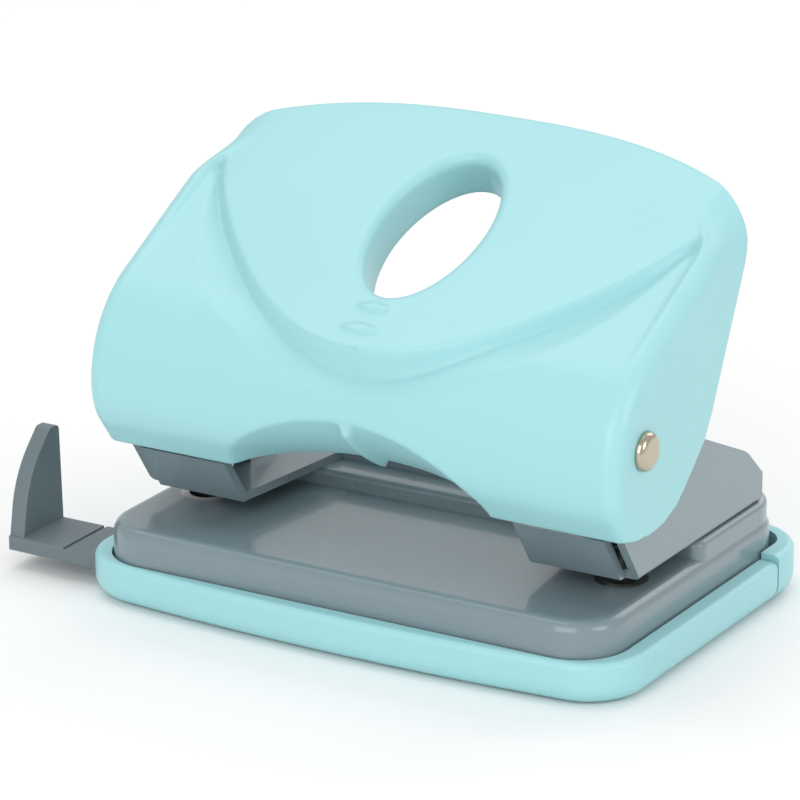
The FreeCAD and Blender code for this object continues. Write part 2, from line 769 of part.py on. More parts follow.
def make_handle_block():
    """The handle's solid outer form: a rounded wedge as long as the punch, before the dome is added."""
    body = new_body("handle_block")
    outline = new_sketch(body, "HandleOutline", "YZ_Plane")
    overrun = "(handle_rear + handle_wall)"
    polygon(outline, [
        ("-handle_lip", "deck + handle_bottom"),
        ("-handle_front", "deck + handle_knee"),
        ("-handle_front", crest("-handle_front")),
        (overrun, crest(overrun)),
        (overrun, f"{crest(overrun)} - handle_skirt"),
        ("handle_hip", "deck + handle_hip_rise"),
        ("handle_calf", "deck + handle_calf_rise"),
        ("-handle_heel", "deck + handle_bottom"),
    ])
    pad(body, outline, "handle_length", both_ways=True)
    rounds = [
        ("FrontRound", "front_round", "-handle_front", crest("-handle_front")),
        ("KneeRound", "knee_round", "-handle_front", "deck + handle_knee"),
        ("HeelRound", "heel_round", "-handle_heel", "deck + handle_bottom"),
        ("CalfRound", "knee_round", "handle_calf", "deck + handle_calf_rise"),
    ]
    for name, radius, across, up in rounds:
        fillet(body, name, radius, lambda edge, across=across, up=up: is_corner_along_x(edge, across, up))

    def is_end_edge(edge):
        box = edge.BoundBox
        flat = box.XMax - box.XMin < 1e-6 and near(abs(box.XMin), HANDLE_END)
        centre = edge.CenterOfMass
        lean = (value("handle_hip_rise") - value("handle_bottom")) / value("handle_hip + handle_lip")
        above = centre.z - value("deck + handle_bottom") > lean * (centre.y + value("handle_lip"))
        return flat and above and centre.y < value("handle_rear")

    fillet(body, "EndRound", "end_round", is_end_edge)
    return body


def is_corner_along_x(edge, across, up):
    """Whether an edge runs along X through a point given by two expressions."""
    centre = edge.CenterOfMass
    return is_along(edge, X_AXIS) and near(centre.y, across) and near(centre.z, up)


def make_handle_cavity():
    """The room inside the handle: the same wedge moved in by the wall and left open below and behind."""
    body = new_body("handle_cavity")
    outline = new_sketch(body, "CavityOutline", "YZ_Plane")
    roof = "handle_wall / cos(handle_slope * 1 deg)"
    front = "(handle_wall - handle_front)"
    lip = "(lip_wall - handle_lip)"
    far = "(2 * handle_rear)"
    polygon(outline, [
        (lip, "0"),
        (lip, "deck + handle_bottom"),
        (front, "deck + handle_knee"),
        (front, f"{crest(front)} - {roof}"),
        (far, f"{crest(far)} - {roof}"),
        (far, "0"),
    ])
    pad(body, outline, "handle_length - 2 * handle_wall", both_ways=True)
    fillet(body, "CavityFront", "front_round - handle_wall",
           lambda edge: is_corner_along_x(edge, front, f"{crest(front)} - {roof}"))
    fillet(body, "CavityKnee", "knee_round - handle_wall",
           lambda edge: is_corner_along_x(edge, front, "deck + handle_knee"))
    return body


def slope_ellipse(name, along, half_width, half_length, sink, depth):
    """An elliptical plug square to the handle's slope, its top sunk below the dome's surface."""
    ring = doc.addObject("Part::Ellipse", name + "_ring")
    ring.setExpression("MajorRadius", bound(half_length))
    ring.setExpression("MinorRadius", bound(half_width))
    turn = Rotation(X_AXIS, value("handle_slope")) * Rotation(Z_AXIS, 90)
    ring.Placement = Placement(Vector(), turn)
    tilt = "(handle_slope * 1 deg)"
    back = f"({along}) * cos({tilt}) + ({sink}) * sin({tilt})"
    up = f"deck + dome_rise + ({along}) * sin({tilt}) - ({sink}) * cos({tilt})"
    ring.setExpression("Placement.Base.y", bound(back))
    ring.setExpression("Placement.Base.z", bound(up))
    plug = doc.addObject("Part::Extrusion", name)
    plug.Base = ring
    plug.DirMode = "Normal"
    plug.Solid = True
    plug.Reversed = True
    plug.setExpression("LengthFwd", bound(depth))
    doc.recompute()
    return plug


def rear_bound(name, inset):
    """A tall drum whose edge is the handle's bowed rear edge, moved in by an inset."""
    radius = f"(({HANDLE_END} * {HANDLE_END} + handle_rear_bow * handle_rear_bow) / (2 * handle_rear_bow))"
    place = ("0", f"handle_rear - {radius}", "0")
    return cylinder(name, f"2 * ({radius} - {inset})", "3 * handle_length", place)


def make_handle_ribs():
    """Two ribs that hang from the roof, one beside each punch, and carry the press bar."""
    ribs = []
    front = "(handle_wall / 2 - handle_front)"
    roof = "handle_wall / (2 * cos(handle_slope * 1 deg))"
    for side_name, side in SIDES:
        body = new_body(f"{side_name}_handle_rib")
        start = "rib_inner" if side > 0 else "-(rib_inner + rib_thick)"
        outline = new_sketch(body, f"RibOutline{side_name}", "YZ_Plane", start)
        polygon(outline, [
            ("-rib_hub", f"{BAR_Z} - rib_hub"),
            ("rib_hub", f"{BAR_Z} - rib_hub"),
            ("2 * rib_hub", f"{BAR_Z} + rib_hub"),
            ("2 * rib_hub", f"{crest('2 * rib_hub')} - {roof}"),
            (front, f"{crest(front)} - {roof}"),
            (front, "deck + rib_front_rise"),
        ])
        pad(body, outline, "rib_thick")
        fillet(body, f"RibRound{side_name}", "rib_round", is_rib_foot)
        fillet(body, f"RibFront{side_name}", "front_round - handle_wall / 2",
               lambda edge: is_corner_along_x(edge, front, f"{crest(front)} - {roof}"))
        ribs.append(body)
    return ribs


def is_rib_foot(edge):
    """Whether an edge is a lower corner of a rib."""
    return is_along(edge, X_AXIS) and near(edge.CenterOfMass.z, f"{BAR_Z} - rib_hub")


def make_handle_shell():
    """The moulded handle: a thin rounded shell with a raised dome, an oval window and a front arch."""
    block = make_handle_block()
    dome = slope_ellipse("handle_dome", "dome_centre", "dome_reach", "dome_depth", "0", "dome_thick")
    soft_dome = doc.addObject("Part::Fillet", "handle_dome_soft")
    soft_dome.Base = dome
    top_edges = [index for index, edge in enumerate(dome.Shape.Edges, start=1) if is_dome_top(edge)]
    soft_dome.Edges = [(index, value("dome_round"), value("dome_round")) for index in top_edges]
    doc.recompute()
    outer = boolean("Fuse", "handle_outer", block, soft_dome)
    outer = boolean("Common", "handle_trimmed", outer, rear_bound("handle_rear_edge", "0"))
    cavity = make_handle_cavity()
    vault = slope_ellipse("handle_vault", "dome_centre", "dome_reach - handle_wall",
                          "dome_depth - handle_wall", "handle_wall", "dome_thick")
    inner = boolean("Fuse", "handle_inner", cavity, vault)
    inner = boolean("Common", "handle_room", inner, rear_bound("handle_rear_inside", "handle_wall"))
    shell = boolean("Cut", "handle_walls", outer, inner)
    collar = slope_ellipse("window_collar", "window_centre", "window_width / 2 + window_wall",
                           "window_length / 2 + window_wall", "handle_wall / 2",
                           "window_collar - handle_wall / 2")
    with_parts = join("handle_with_ribs", [shell, collar, *make_handle_ribs()])
    window = slope_ellipse("window_opening", "window_centre", "window_width / 2", "window_length / 2",
                           "-handle_wall", "window_collar + 4 * handle_wall")
    arch_radius = "((arch_half_width * arch_half_width + arch_rise * arch_rise) / (2 * arch_rise))"
    arch = cylinder("front_arch", f"2 * {arch_radius}", "handle_front",
                    ("0", "0", f"deck + handle_bottom + arch_rise - {arch_radius}"), Rotation(X_AXIS, 90))
    along = Rotation(Y_AXIS, 90)
    pivot = cylinder("pivot_bore", "pivot_shank + 2 * running_gap", "2 * handle_length",
                     ("-handle_length", "pivot_back", PIVOT_Z), along)
    seat = cylinder("bar_seat", "bar_size", f"2 * {BAR_HALF}", (f"-{BAR_HALF}", "0", BAR_Z), along)
    openings = join("handle_openings", [window, arch, pivot, seat])
    handle = boolean("Cut", "handle_shell", with_parts, openings)
    handle.Label = "handle_shell"
    return handle


def is_dome_top(edge):
    """Whether an edge lies in the dome's upper face."""
    slope = math.tan(math.radians(value("handle_slope")))
    middle = edge.valueAt((edge.FirstParameter + edge.LastParameter) / 2)
    level = middle.z - slope * middle.y
    return abs(level - value("deck + dome_rise")) < 0.05


def make_press_bar():
    """The steel bar across the inside of the handle that pushes both pins."""
    bar = cylinder("press_bar", "bar_size", f"2 * {BAR_HALF}", (f"-{BAR_HALF}", "0", BAR_Z),
                   Rotation(Y_AXIS, 90))
    bar.Label = "press_bar"
    return bar


# -------------------------------------------------------------------------- tray, rail and paper guide
def make_rear_rail():
    """The fixed plastic rail behind the seam; it grips the rear of the base plate."""
    body = new_body("tray_rear_rail")
    half = "tray_length / 2"
    outline = new_sketch(body, "RailOutline", "XY_Plane")
    rectangle(outline, f"-{half}", half, "seam + seam_gap / 2", "tray_rear")
    pad(body, outline, "rail_rim")
    fillet(body, "RailCorners", "tray_corner",
           lambda edge: is_along(edge, Z_AXIS) and near(edge.CenterOfMass.y, "tray_rear"))
    fillet(body, "RailFoot", "tray_foot_round", lambda edge: is_tray_rim(edge, "0"))
    fillet(body, "RailRim", "tray_rim_round", lambda edge: is_tray_rim(edge, "rail_rim"))
    room = new_sketch(body, "RailRoom", "XY_Plane", PLATE_FOOT)
    rounded_rectangle(room, f"-{TRAY_INNER}", TRAY_INNER, "-plate_front", "plate_rear", "rail_inner_corner")
    pocket(body, room, backwards=True)
    return body


def is_tray_rim(edge, height):
    """Whether an edge is part of the tray's or the rail's outer outline at a height, away from the seam."""
    box = edge.BoundBox
    flat = near(box.ZMin, height) and near(box.ZMax, height)
    on_seam = box.YMax - box.YMin < 1e-3 and abs(box.YMin - value("seam")) < value("seam_gap")
    return flat and not on_seam


def make_chip_tray():
    """The plastic tray under the plate: it catches the chips and swings down about the rear seam."""
    body = new_body("chip_tray")
    half = "tray_length / 2"
    corner = "(tray_front - tray_bow)"
    back = "(seam - seam_gap / 2)"
    outline = new_sketch(body, "TrayOutline", "XY_Plane")
    bowed_rectangle(outline, half, corner, "tray_front", back)
    pad(body, outline, "tray_rim")
    fillet(body, "TrayCorners", "tray_corner",
           lambda edge: is_along(edge, Z_AXIS) and near(edge.CenterOfMass.y, f"-{corner}"))
    fillet(body, "TrayFoot", "tray_foot_round", lambda edge: is_tray_rim(edge, "0"))
    fillet(body, "TrayRim", "tray_rim_round", lambda edge: is_tray_rim(edge, "tray_rim"))
    room = new_sketch(body, "TrayRoom", "XY_Plane", "tray_floor")
    inner_front = "-(plate_front + tray_gap)"
    rounded_rectangle(room, f"-{TRAY_INNER}", TRAY_INNER, inner_front, "tray_rear",
                      "(plate_corner + tray_gap)")
    pocket(body, room, backwards=True)
    slot = new_sketch(body, "GuideSlot", "XY_Plane", "guide_bottom - running_gap")
    low, high = guide_sides("guide_gap")
    rectangle(slot, f"-({half} + tray_gap)", f"-({TRAY_INNER} - plate_corner)", low, high)
    pocket(body, slot, "guide_thick + guide_gap", backwards=True)
    runners = new_sketch(body, "GuideRunners", "XY_Plane", "tray_floor")
    for share in (0.25, 0.75):
        middle = f"-(guide_front - {share} * guide_width)"
        rectangle(runners, f"-({TRAY_INNER} - plate_wall - tray_gap)", "-guide_inner_end",
                  f"{middle} - tray_floor / 2", f"{middle} + tray_floor / 2")
    pad(body, runners, "guide_bottom - running_gap - tray_floor")
    return body


def bowed_rectangle(sketch, half, corner, front, back):
    """A rectangle whose front side bows forward in one arc."""
    left = Vector(-value(half), -value(corner), 0)
    right = Vector(value(half), -value(corner), 0)
    far_right = Vector(value(half), value(back), 0)
    far_left = Vector(-value(half), value(back), 0)
    middle = Vector(0, -value(front), 0)
    sketch.addGeometry(Part.Arc(left, middle, right), False)
    sketch.addGeometry(Part.LineSegment(right, far_right), False)
    sketch.addGeometry(Part.LineSegment(far_right, far_left), False)
    sketch.addGeometry(Part.LineSegment(far_left, left), False)
    for first, first_end, second, second_end in ((0, 2, 1, 1), (1, 2, 2, 1), (2, 2, 3, 1), (3, 2, 0, 1)):
        sketch.addConstraint(Sketcher.Constraint("Coincident", first, first_end, second, second_end))
    pin_point(sketch, 1, 1, half, f"-{corner}")
    pin_point(sketch, 2, 1, half, back)
    pin_point(sketch, 3, 1, f"-({half})", back)
    pin_point(sketch, 3, 2, f"-({half})", f"-{corner}")
    bow = f"({front} - {corner})"
    radius = f"(({half}) * ({half}) + {bow} * {bow}) / (2 * {bow})"
    index = sketch.addConstraint(Sketcher.Constraint("Radius", 0, value(radius)))
    sketch.setExpression(f"Constraints[{index}]", bound(radius))


def make_paper_guide():
    """The sliding paper guide: a flat strip through the tray's wall with an upright fin at its end."""
    body = new_body("paper_guide")
    low, high = guide_sides("0")
    strip = new_sketch(body, "GuideStrip", "XY_Plane", "guide_bottom")
    rectangle(strip, "-guide_reach", "-guide_inner_end", low, high)
    pad(body, strip, "guide_thick")
    fin = new_sketch(body, "GuideFin", "YZ_Plane", "-guide_reach")
    top = "guide_bottom + fin_height"
    bulge = f"({low} + fin_bulge)"
    bulge_height = "(guide_bottom + fin_bulge_rise)"
    polygon(fin, [
        (low, "guide_bottom"),
        (high, "guide_bottom"),
        (f"{high} - fin_taper", top),
        (f"{low} + fin_lean", top),
        (bulge, bulge_height),
    ])
    pad(body, fin, "fin_thick")
    fillet(body, "FinFront", "2 * fin_lean",
           lambda edge: is_corner_along_x(edge, bulge, bulge_height))
    fillet(body, "FinTop", "fin_top_round",
           lambda edge: is_along(edge, X_AXIS) and near(edge.CenterOfMass.z, top))
    crease = new_sketch(body, "GuideCrease", "XY_Plane", "guide_bottom + guide_thick")
    crease_place = "-(guide_reach - 4 * fin_thick)"
    rectangle(crease, f"{crease_place} - guide_gap", f"{crease_place} + guide_gap", low, high)
    pocket(body, crease, "guide_gap")
    return body


# ----------------------------------------------------------------------------------------------- build
def make_everything():
    """Every sub-part, each under the label that names its file."""
    parts = [make_base_plate(), make_punch_frame(), make_frame_rivets(), make_bracket_rivets()]
    for side_name, side in SIDES:
        parts.append(make_die(side_name, side))
        parts.append(make_guide_bracket(side_name, side))
        parts.append(make_punch_pin(side_name, side))
        parts.append(make_retaining_clip(side_name, side))
        parts.append(make_return_spring(side_name, side))
        parts.append(make_pivot_rivet(side_name, side))
        parts.append(make_pivot_washer(side_name, side))
    parts += [make_handle_shell(), make_press_bar(), make_rear_rail(), make_chip_tray(), make_paper_guide()]
    return parts


def check_and_write(parts):
    """Refuse a failed feature or an unsound shape, then write one file for each sub-part."""
    doc.recompute()
    for item in doc.Objects:
        if "Invalid" in item.State or "Error" in item.State:
            raise RuntimeError(f"{item.Name} failed: {item.State}")
    for part in parts:
        shape = part.Shape
        if shape.isNull() or not shape.isValid() or not shape.Solids:
            raise RuntimeError(part.Label + " is not a sound solid")
    os.makedirs("parts", exist_ok=True)
    for part in parts:
        part.Shape.exportStep(f"parts/{part.Label}.step")
        box = part.Shape.BoundBox
        print(f"{part.Label}: {len(part.Shape.Solids)} solid(s), {part.Shape.Volume:.1f} mm3, "
              f"x {box.XMin:.2f}..{box.XMax:.2f}, y {box.YMin:.2f}..{box.YMax:.2f}, "
              f"z {box.ZMin:.2f}..{box.ZMax:.2f}")


check_and_write(make_everything())
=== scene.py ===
"""The looks of a two-hole desk punch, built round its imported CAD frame.

Sizes in the classes are millimetres, in the CAD's own frame: the origin lies on the desk between the two
dies, +X runs along the row of holes, +Y to the rear and +Z up.  Meshes are written in metres.
"""
import logging
import math
from dataclasses import dataclass, field
from enum import Enum
from typing import Iterable, Sequence, Union

import bmesh
import bpy
import numpy as np
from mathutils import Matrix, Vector


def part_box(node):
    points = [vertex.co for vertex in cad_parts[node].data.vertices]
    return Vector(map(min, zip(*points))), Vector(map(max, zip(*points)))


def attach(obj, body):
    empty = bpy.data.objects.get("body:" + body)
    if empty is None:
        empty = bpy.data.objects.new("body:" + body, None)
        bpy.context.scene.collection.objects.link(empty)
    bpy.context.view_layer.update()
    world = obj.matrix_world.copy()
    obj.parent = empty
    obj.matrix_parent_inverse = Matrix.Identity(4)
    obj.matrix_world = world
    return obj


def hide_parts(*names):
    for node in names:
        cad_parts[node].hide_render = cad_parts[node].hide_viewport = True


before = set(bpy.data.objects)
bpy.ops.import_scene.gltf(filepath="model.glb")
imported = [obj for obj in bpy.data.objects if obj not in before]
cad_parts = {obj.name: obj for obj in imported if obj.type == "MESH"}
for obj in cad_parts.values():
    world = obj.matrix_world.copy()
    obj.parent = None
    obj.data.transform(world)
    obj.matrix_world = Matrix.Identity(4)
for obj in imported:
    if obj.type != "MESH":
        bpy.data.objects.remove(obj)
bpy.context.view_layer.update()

log = logging.getLogger("hole_punch")
Level = Union[bpy.types.NodeSocket, float]

MM = 0.001


class Body(Enum):
    """The bodies of the punch that pieces ride on."""

    BASE = "base"
    HANDLE = "handle"
    CHIP_TRAY = "chip_tray"
    PAPER_GUIDE = "paper_guide"


class Slot(Enum):
    """The record's material slots."""

    MINT = "mint_plastic"
    GREY_PLASTIC = "grey_plastic"
    ENAMEL = "grey_enamel"
    TOOL_STEEL = "tool_steel"
    SPRING_STEEL = "spring_steel"
    NICKEL = "nickel"


# ------------------------------------------------------------------------------------------- curves
def smooth_step(share: np.ndarray) -> np.ndarray:
    """A soft step from 0 to 1.

    The share is held between 0 and 1 and becomes 3 t squared minus 2 t cubed.

    Args:
        share: where each value lies between the step's two ends.

    Returns:
        The height of the step, from 0 to 1.
    """
    held = np.clip(share, 0.0, 1.0)
    return held * held * (3.0 - 2.0 * held)


def soft_positive(value: np.ndarray, width: float) -> np.ndarray:
    """The positive part of a value with a rounded corner.

    Half of the value plus the length of the pair (value, width), less what that gives far below zero.

    Args:
        value: the values to hold above zero.
        width: how wide the corner is.

    Returns:
        Nearly 0 below zero and nearly the value above it.
    """
    return 0.5 * (value + np.sqrt(value * value + width * width))


def rounded_path(corners: Sequence[tuple[float, float]], radii: Sequence[float], step: float) -> np.ndarray:
    """Evenly spaced points along a run of straight lines whose inner corners are arcs.

    Each arc starts and ends where a circle of the corner's radius touches both lines, at a distance of the
    radius times the tangent of half the turn.

    Args:
        corners: the corners of the run.
        radii: one radius for each corner but the first and the last.
        step: the distance between points along the path.

    Returns:
        An array of points, two numbers each.
    """
    points = [np.array(corners[0], float)]
    for before, corner, after, radius in zip(corners, corners[1:], corners[2:], radii):
        here = np.array(corner, float)
        into = (here - before) / np.linalg.norm(here - before)
        out = (np.array(after, float) - here) / np.linalg.norm(np.array(after, float) - here)
        turn = math.atan2(into[0] * out[1] - into[1] * out[0], float(into @ out))
        reach = radius * math.tan(abs(turn) / 2)
        side = np.array([-into[1], into[0]]) * math.copysign(1.0, turn)
        centre = here - into * reach + side * radius
        sweep = np.linspace(0.0, turn, 40)
        start = here - into * reach - centre
        arc = np.stack([start[0] * np.cos(sweep) - start[1] * np.sin(sweep),
                        start[0] * np.sin(sweep) + start[1] * np.cos(sweep)], axis=1)
        points.extend(centre + arc)
    points.append(np.array(corners[-1], float))
    line = np.array(points)
    along = np.concatenate([[0.0], np.cumsum(np.linalg.norm(np.diff(line, axis=0), axis=1))])
    places = np.linspace(0.0, along[-1], max(2, int(along[-1] / step)))
    return np.stack([np.interp(places, along, line[:, axis]) for axis in range(2)], axis=1)


def joined(*runs: np.ndarray) -> np.ndarray:
    """Several runs of rising numbers as one, with the shared ends counted once."""
    return np.concatenate([runs[0], *[run[1:] for run in runs[1:]]])


# ------------------------------------------------------------------------------------------- meshes
def grid_faces(indices: np.ndarray) -> np.ndarray:
    """The quads of a grid of vertex numbers, as rows of four."""
    return np.stack([indices[:-1, :-1], indices[:-1, 1:], indices[1:, 1:], indices[1:, :-1]],
                    axis=-1).reshape(-1, 4)


def grid_normals(points: np.ndarray) -> np.ndarray:
    """The unit normals of a grid of points: the cross product of its two directions' differences."""
    down = np.gradient(points, axis=0)
    across = np.gradient(points, axis=1)
    normal = np.cross(across, down)
    return normal / np.maximum(np.linalg.norm(normal, axis=-1, keepdims=True), 1e-12)


def make_object(name: str, points: np.ndarray, faces: Iterable[Sequence[int]]) -> bpy.types.Object:
    """A smooth mesh object at the origin from millimetre points, its faces turned outwards.

    Args:
        name: the piece's name.
        points: the vertices in millimetres.
        faces: the vertex numbers of each face.

    Returns:
        The new object, linked to the scene.
    """
    mesh = bpy.data.meshes.new(name)
    mesh.from_pydata((np.asarray(points) * MM).tolist(), [], [list(map(int, face)) for face in faces])
    work = bmesh.new()
    work.from_mesh(mesh)
    bmesh.ops.remove_doubles(work, verts=work.verts, dist=1e-6)
    if work.calc_volume(signed=True) < 0:
        bmesh.ops.reverse_faces(work, faces=work.faces)
    work.to_mesh(mesh)
    work.free()
    mesh.polygons.foreach_set("use_smooth", np.ones(len(mesh.polygons), bool))
    mesh.update()
    piece = bpy.data.objects.new(name, mesh)
    bpy.context.scene.collection.objects.link(piece)
    return piece


def softened_copy(node: str, name: str, radius: float, segments: int = 3) -> bpy.types.Object:
    """A copy of a CAD node with its triangles merged and its sharp edges rounded.

    Args:
        node: the CAD node to copy.
        name: the new piece's name.
        radius: how far the rounding reaches from each edge, in millimetres.
        segments: the number of faces across each rounding.

    Returns:
        The new object, which stands for the node.
    """
    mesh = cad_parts[node].data.copy()
    mesh.name = name
    mesh.materials.clear()
    work = bmesh.new()
    work.from_mesh(mesh)
    bmesh.ops.remove_doubles(work, verts=work.verts, dist=2e-6)
    bmesh.ops.dissolve_limit(work, angle_limit=math.radians(0.6), verts=work.verts, edges=work.edges)
    work.to_mesh(mesh)
    work.free()
    mesh.polygons.foreach_set("use_smooth", np.ones(len(mesh.polygons), bool))
    piece = bpy.data.objects.new(name, mesh)
    bpy.context.scene.collection.objects.link(piece)
    bevel = piece.modifiers.new("soft_edges", "BEVEL")
    bevel.width = radius * MM
    bevel.segments = segments
    bevel.limit_method = "ANGLE"
    bevel.angle_limit = math.radians(32)
    bevel.harden_normals = True
    bevel.miter_outer = "MITER_ARC"
    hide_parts(node)
    return piece


# --------------------------------------------------------------------------------- shared node groups
def new_group(name: str, inputs: dict[str, float], outputs: Sequence[str]) -> bpy.types.NodeTree:
    """A shader node group with named number inputs and outputs.

    Args:
        name: the group's name.
        inputs: the default of each input.
        outputs: the names of the outputs.

    Returns:
        The group, with its input and output nodes in place.
    """
    group = bpy.data.node_groups.new(name, "ShaderNodeTree")
    for label, default in inputs.items():
        socket = group.interface.new_socket(label, in_out="INPUT", socket_type="NodeSocketFloat")
        socket.default_value = default
    for label in outputs:
        group.interface.new_socket(label, in_out="OUTPUT", socket_type="NodeSocketFloat")
    group.nodes.new("NodeGroupInput")
    group.nodes.new("NodeGroupOutput")
    return group


def noise(tree: bpy.types.NodeTree, scale: float, detail: float,
          stretch: Sequence[float] = (1, 1, 1)) -> bpy.types.NodeSocket:
    """A noise texture on Object coordinates.

    Args:
        tree: the tree to add it to.
        scale: the number of features in a metre.
        detail: how many finer layers it has.
        stretch: how much the pattern is squeezed along each axis.

    Returns:
        The texture's Fac socket.
    """
    place = tree.nodes.new("ShaderNodeTexCoord")
    mapping = tree.nodes.new("ShaderNodeMapping")
    mapping.inputs["Scale"].default_value = stretch
    texture = tree.nodes.new("ShaderNodeTexNoise")
    texture.inputs["Scale"].default_value = scale
    texture.inputs["Detail"].default_value = detail
    tree.links.new(place.outputs["Object"], mapping.inputs["Vector"])
    tree.links.new(mapping.outputs["Vector"], texture.inputs["Vector"])
    return texture.outputs["Fac"]


def spread(tree: bpy.types.NodeTree, source: bpy.types.NodeSocket, low: Level, high: Level,
           start: float = 0.3, end: float = 0.7) -> bpy.types.NodeSocket:
    """A value carried from one range to another.

    Args:
        tree: the tree to add it to.
        source: the socket that is read.
        low: the result at the range's start, a number or a socket.
        high: the result at the range's end, a number or a socket.
        start: the value that gives the low result.
        end: the value that gives the high result.

    Returns:
        The result socket.
    """
    node = tree.nodes.new("ShaderNodeMapRange")
    node.inputs["From Min"].default_value = start
    node.inputs["From Max"].default_value = end
    tree.links.new(source, node.inputs["Value"])
    for label, wanted in (("To Min", low), ("To Max", high)):
        if isinstance(wanted, (int, float)):
            node.inputs[label].default_value = wanted
        else:
            tree.links.new(wanted, node.inputs[label])
    return node.outputs["Result"]


def group_ends(group: bpy.types.NodeTree) -> tuple[bpy.types.Node, bpy.types.Node]:
    """The input and output nodes of a group."""
    return (next(node for node in group.nodes if node.bl_idname == "NodeGroupInput"),
            next(node for node in group.nodes if node.bl_idname == "NodeGroupOutput"))


def make_surface_group() -> bpy.types.NodeTree:
    """The handled surface that every finish shares: a fine grain, a broad shade and soft smudges."""
    group = new_group("handled_surface", {"Gloss": 0.4, "Smudge": 0.05, "Shade Depth": 0.03},
                      ("Roughness", "Shade", "Grain"))
    given, result = group_ends(group)
    smudges = noise(group, 55.0, 3.0)
    centre = group.nodes.new("ShaderNodeMath")
    centre.operation = "MULTIPLY_ADD"
    group.links.new(given.outputs["Smudge"], centre.inputs[1])
    group.links.new(given.outputs["Gloss"], centre.inputs[2])
    group.links.new(spread(group, smudges, -1.0, 1.0), centre.inputs[0])
    group.links.new(centre.outputs["Value"], result.inputs["Roughness"])
    darker = group.nodes.new("ShaderNodeMath")
    darker.operation = "SUBTRACT"
    darker.inputs[0].default_value = 1.0
    group.links.new(given.outputs["Shade Depth"], darker.inputs[1])
    broad = spread(group, noise(group, 22.0, 2.0), darker.outputs["Value"], 1.0)
    group.links.new(broad, result.inputs["Shade"])
    group.links.new(noise(group, 2600.0, 3.0), result.inputs["Grain"])
    return group


def make_flow_group() -> bpy.types.NodeTree:
    """The slow ripple of sprayed enamel, a few millimetres from crest to crest."""
    group = new_group("enamel_flow", {"Fine Share": 0.08}, ("Height",))
    given, result = group_ends(group)
    blend = group.nodes.new("ShaderNodeMath")
    blend.operation = "MULTIPLY_ADD"
    group.links.new(noise(group, 900.0, 1.0), blend.inputs[0])
    group.links.new(given.outputs["Fine Share"], blend.inputs[1])
    group.links.new(noise(group, 260.0, 1.0), blend.inputs[2])
    group.links.new(blend.outputs["Value"], result.inputs["Height"])
    return group


def make_brushed_group() -> bpy.types.NodeTree:
    """The fine lines of ground steel, long round the work and narrow along it."""
    group = new_group("ground_lines", {"Depth": 0.1}, ("Height", "Roughness Change"))
    given, result = group_ends(group)
    lines = noise(group, 500.0, 2.0, (1.0, 1.0, 14.0))
    group.links.new(lines, result.inputs["Height"])
    change = group.nodes.new("ShaderNodeMath")
    change.operation = "MULTIPLY"
    group.links.new(lines, change.inputs[0])
    group.links.new(given.outputs["Depth"], change.inputs[1])
    group.links.new(change.outputs["Value"], result.inputs["Roughness Change"])
    return group


# ----------------------------------------------------------------------------------------- finishes
@dataclass(frozen=True)
class Finish:
    """One material: a Principled surface whose shade, gloss and grain change over the piece.

    Attributes:
        slot: the record's slot that it dresses.
        color: the base colour, linear.
        gloss: the middle roughness.
        smudge: how far the roughness wanders.
        shade_depth: how much darker the broad patches are.
        grain_height: the height of the fine grain in metres.
        metallic: 1 for bare metal.
        coat: the weight of a clear top layer.
        coat_roughness: the roughness of that layer.
        ior: the refraction of the surface.
    """

    slot: Slot
    color: tuple[float, float, float]
    gloss: float
    smudge: float = 0.04
    shade_depth: float = 0.03
    grain_height: float = 0.000004
    metallic: float = 0.0
    coat: float = 0.0
    coat_roughness: float = 0.05
    ior: float = 1.47

    def build(self, groups: dict[str, bpy.types.NodeTree]) -> bpy.types.Material:
        """The finish as a material.

        Args:
            groups: the shared node groups by name.

        Returns:
            The new material.
        """
        material = bpy.data.materials.new(self.slot.value + "_finish")
        material.use_nodes = True
        tree = material.node_tree
        shader = tree.nodes["Principled BSDF"]
        shader.inputs["Metallic"].default_value = self.metallic
        shader.inputs["IOR"].default_value = self.ior
        shader.inputs["Coat Weight"].default_value = self.coat
        shader.inputs["Coat Roughness"].default_value = self.coat_roughness
        surface = tree.nodes.new("ShaderNodeGroup")
        surface.node_tree = groups["surface"]
        surface.inputs["Gloss"].default_value = self.gloss
        surface.inputs["Smudge"].default_value = self.smudge
        surface.inputs["Shade Depth"].default_value = self.shade_depth
        tint = tree.nodes.new("ShaderNodeMix")
        tint.data_type = "RGBA"
        tint.blend_type = "MIX"
        tint.inputs["A"].default_value = (*[part * 0.55 for part in self.color], 1.0)
        tint.inputs["B"].default_value = (*self.color, 1.0)
        tree.links.new(surface.outputs["Shade"], tint.inputs["Factor"])
        tree.links.new(tint.outputs["Result"], shader.inputs["Base Color"])
        tree.links.new(surface.outputs["Roughness"], shader.inputs["Roughness"])
        self.add_relief(tree, surface, groups)
        return material

    def add_relief(self, tree: bpy.types.NodeTree, surface: bpy.types.Node,
                   groups: dict[str, bpy.types.NodeTree]) -> None:
        """Lead the fine grain through a Bump node to the shader's normal."""
        bump = tree.nodes.new("ShaderNodeBump")
        bump.inputs["Distance"].default_value = self.grain_height
        tree.links.new(surface.outputs["Grain"], bump.inputs["Height"])
        tree.links.new(bump.outputs["Normal"], tree.nodes["Principled BSDF"].inputs["Normal"])


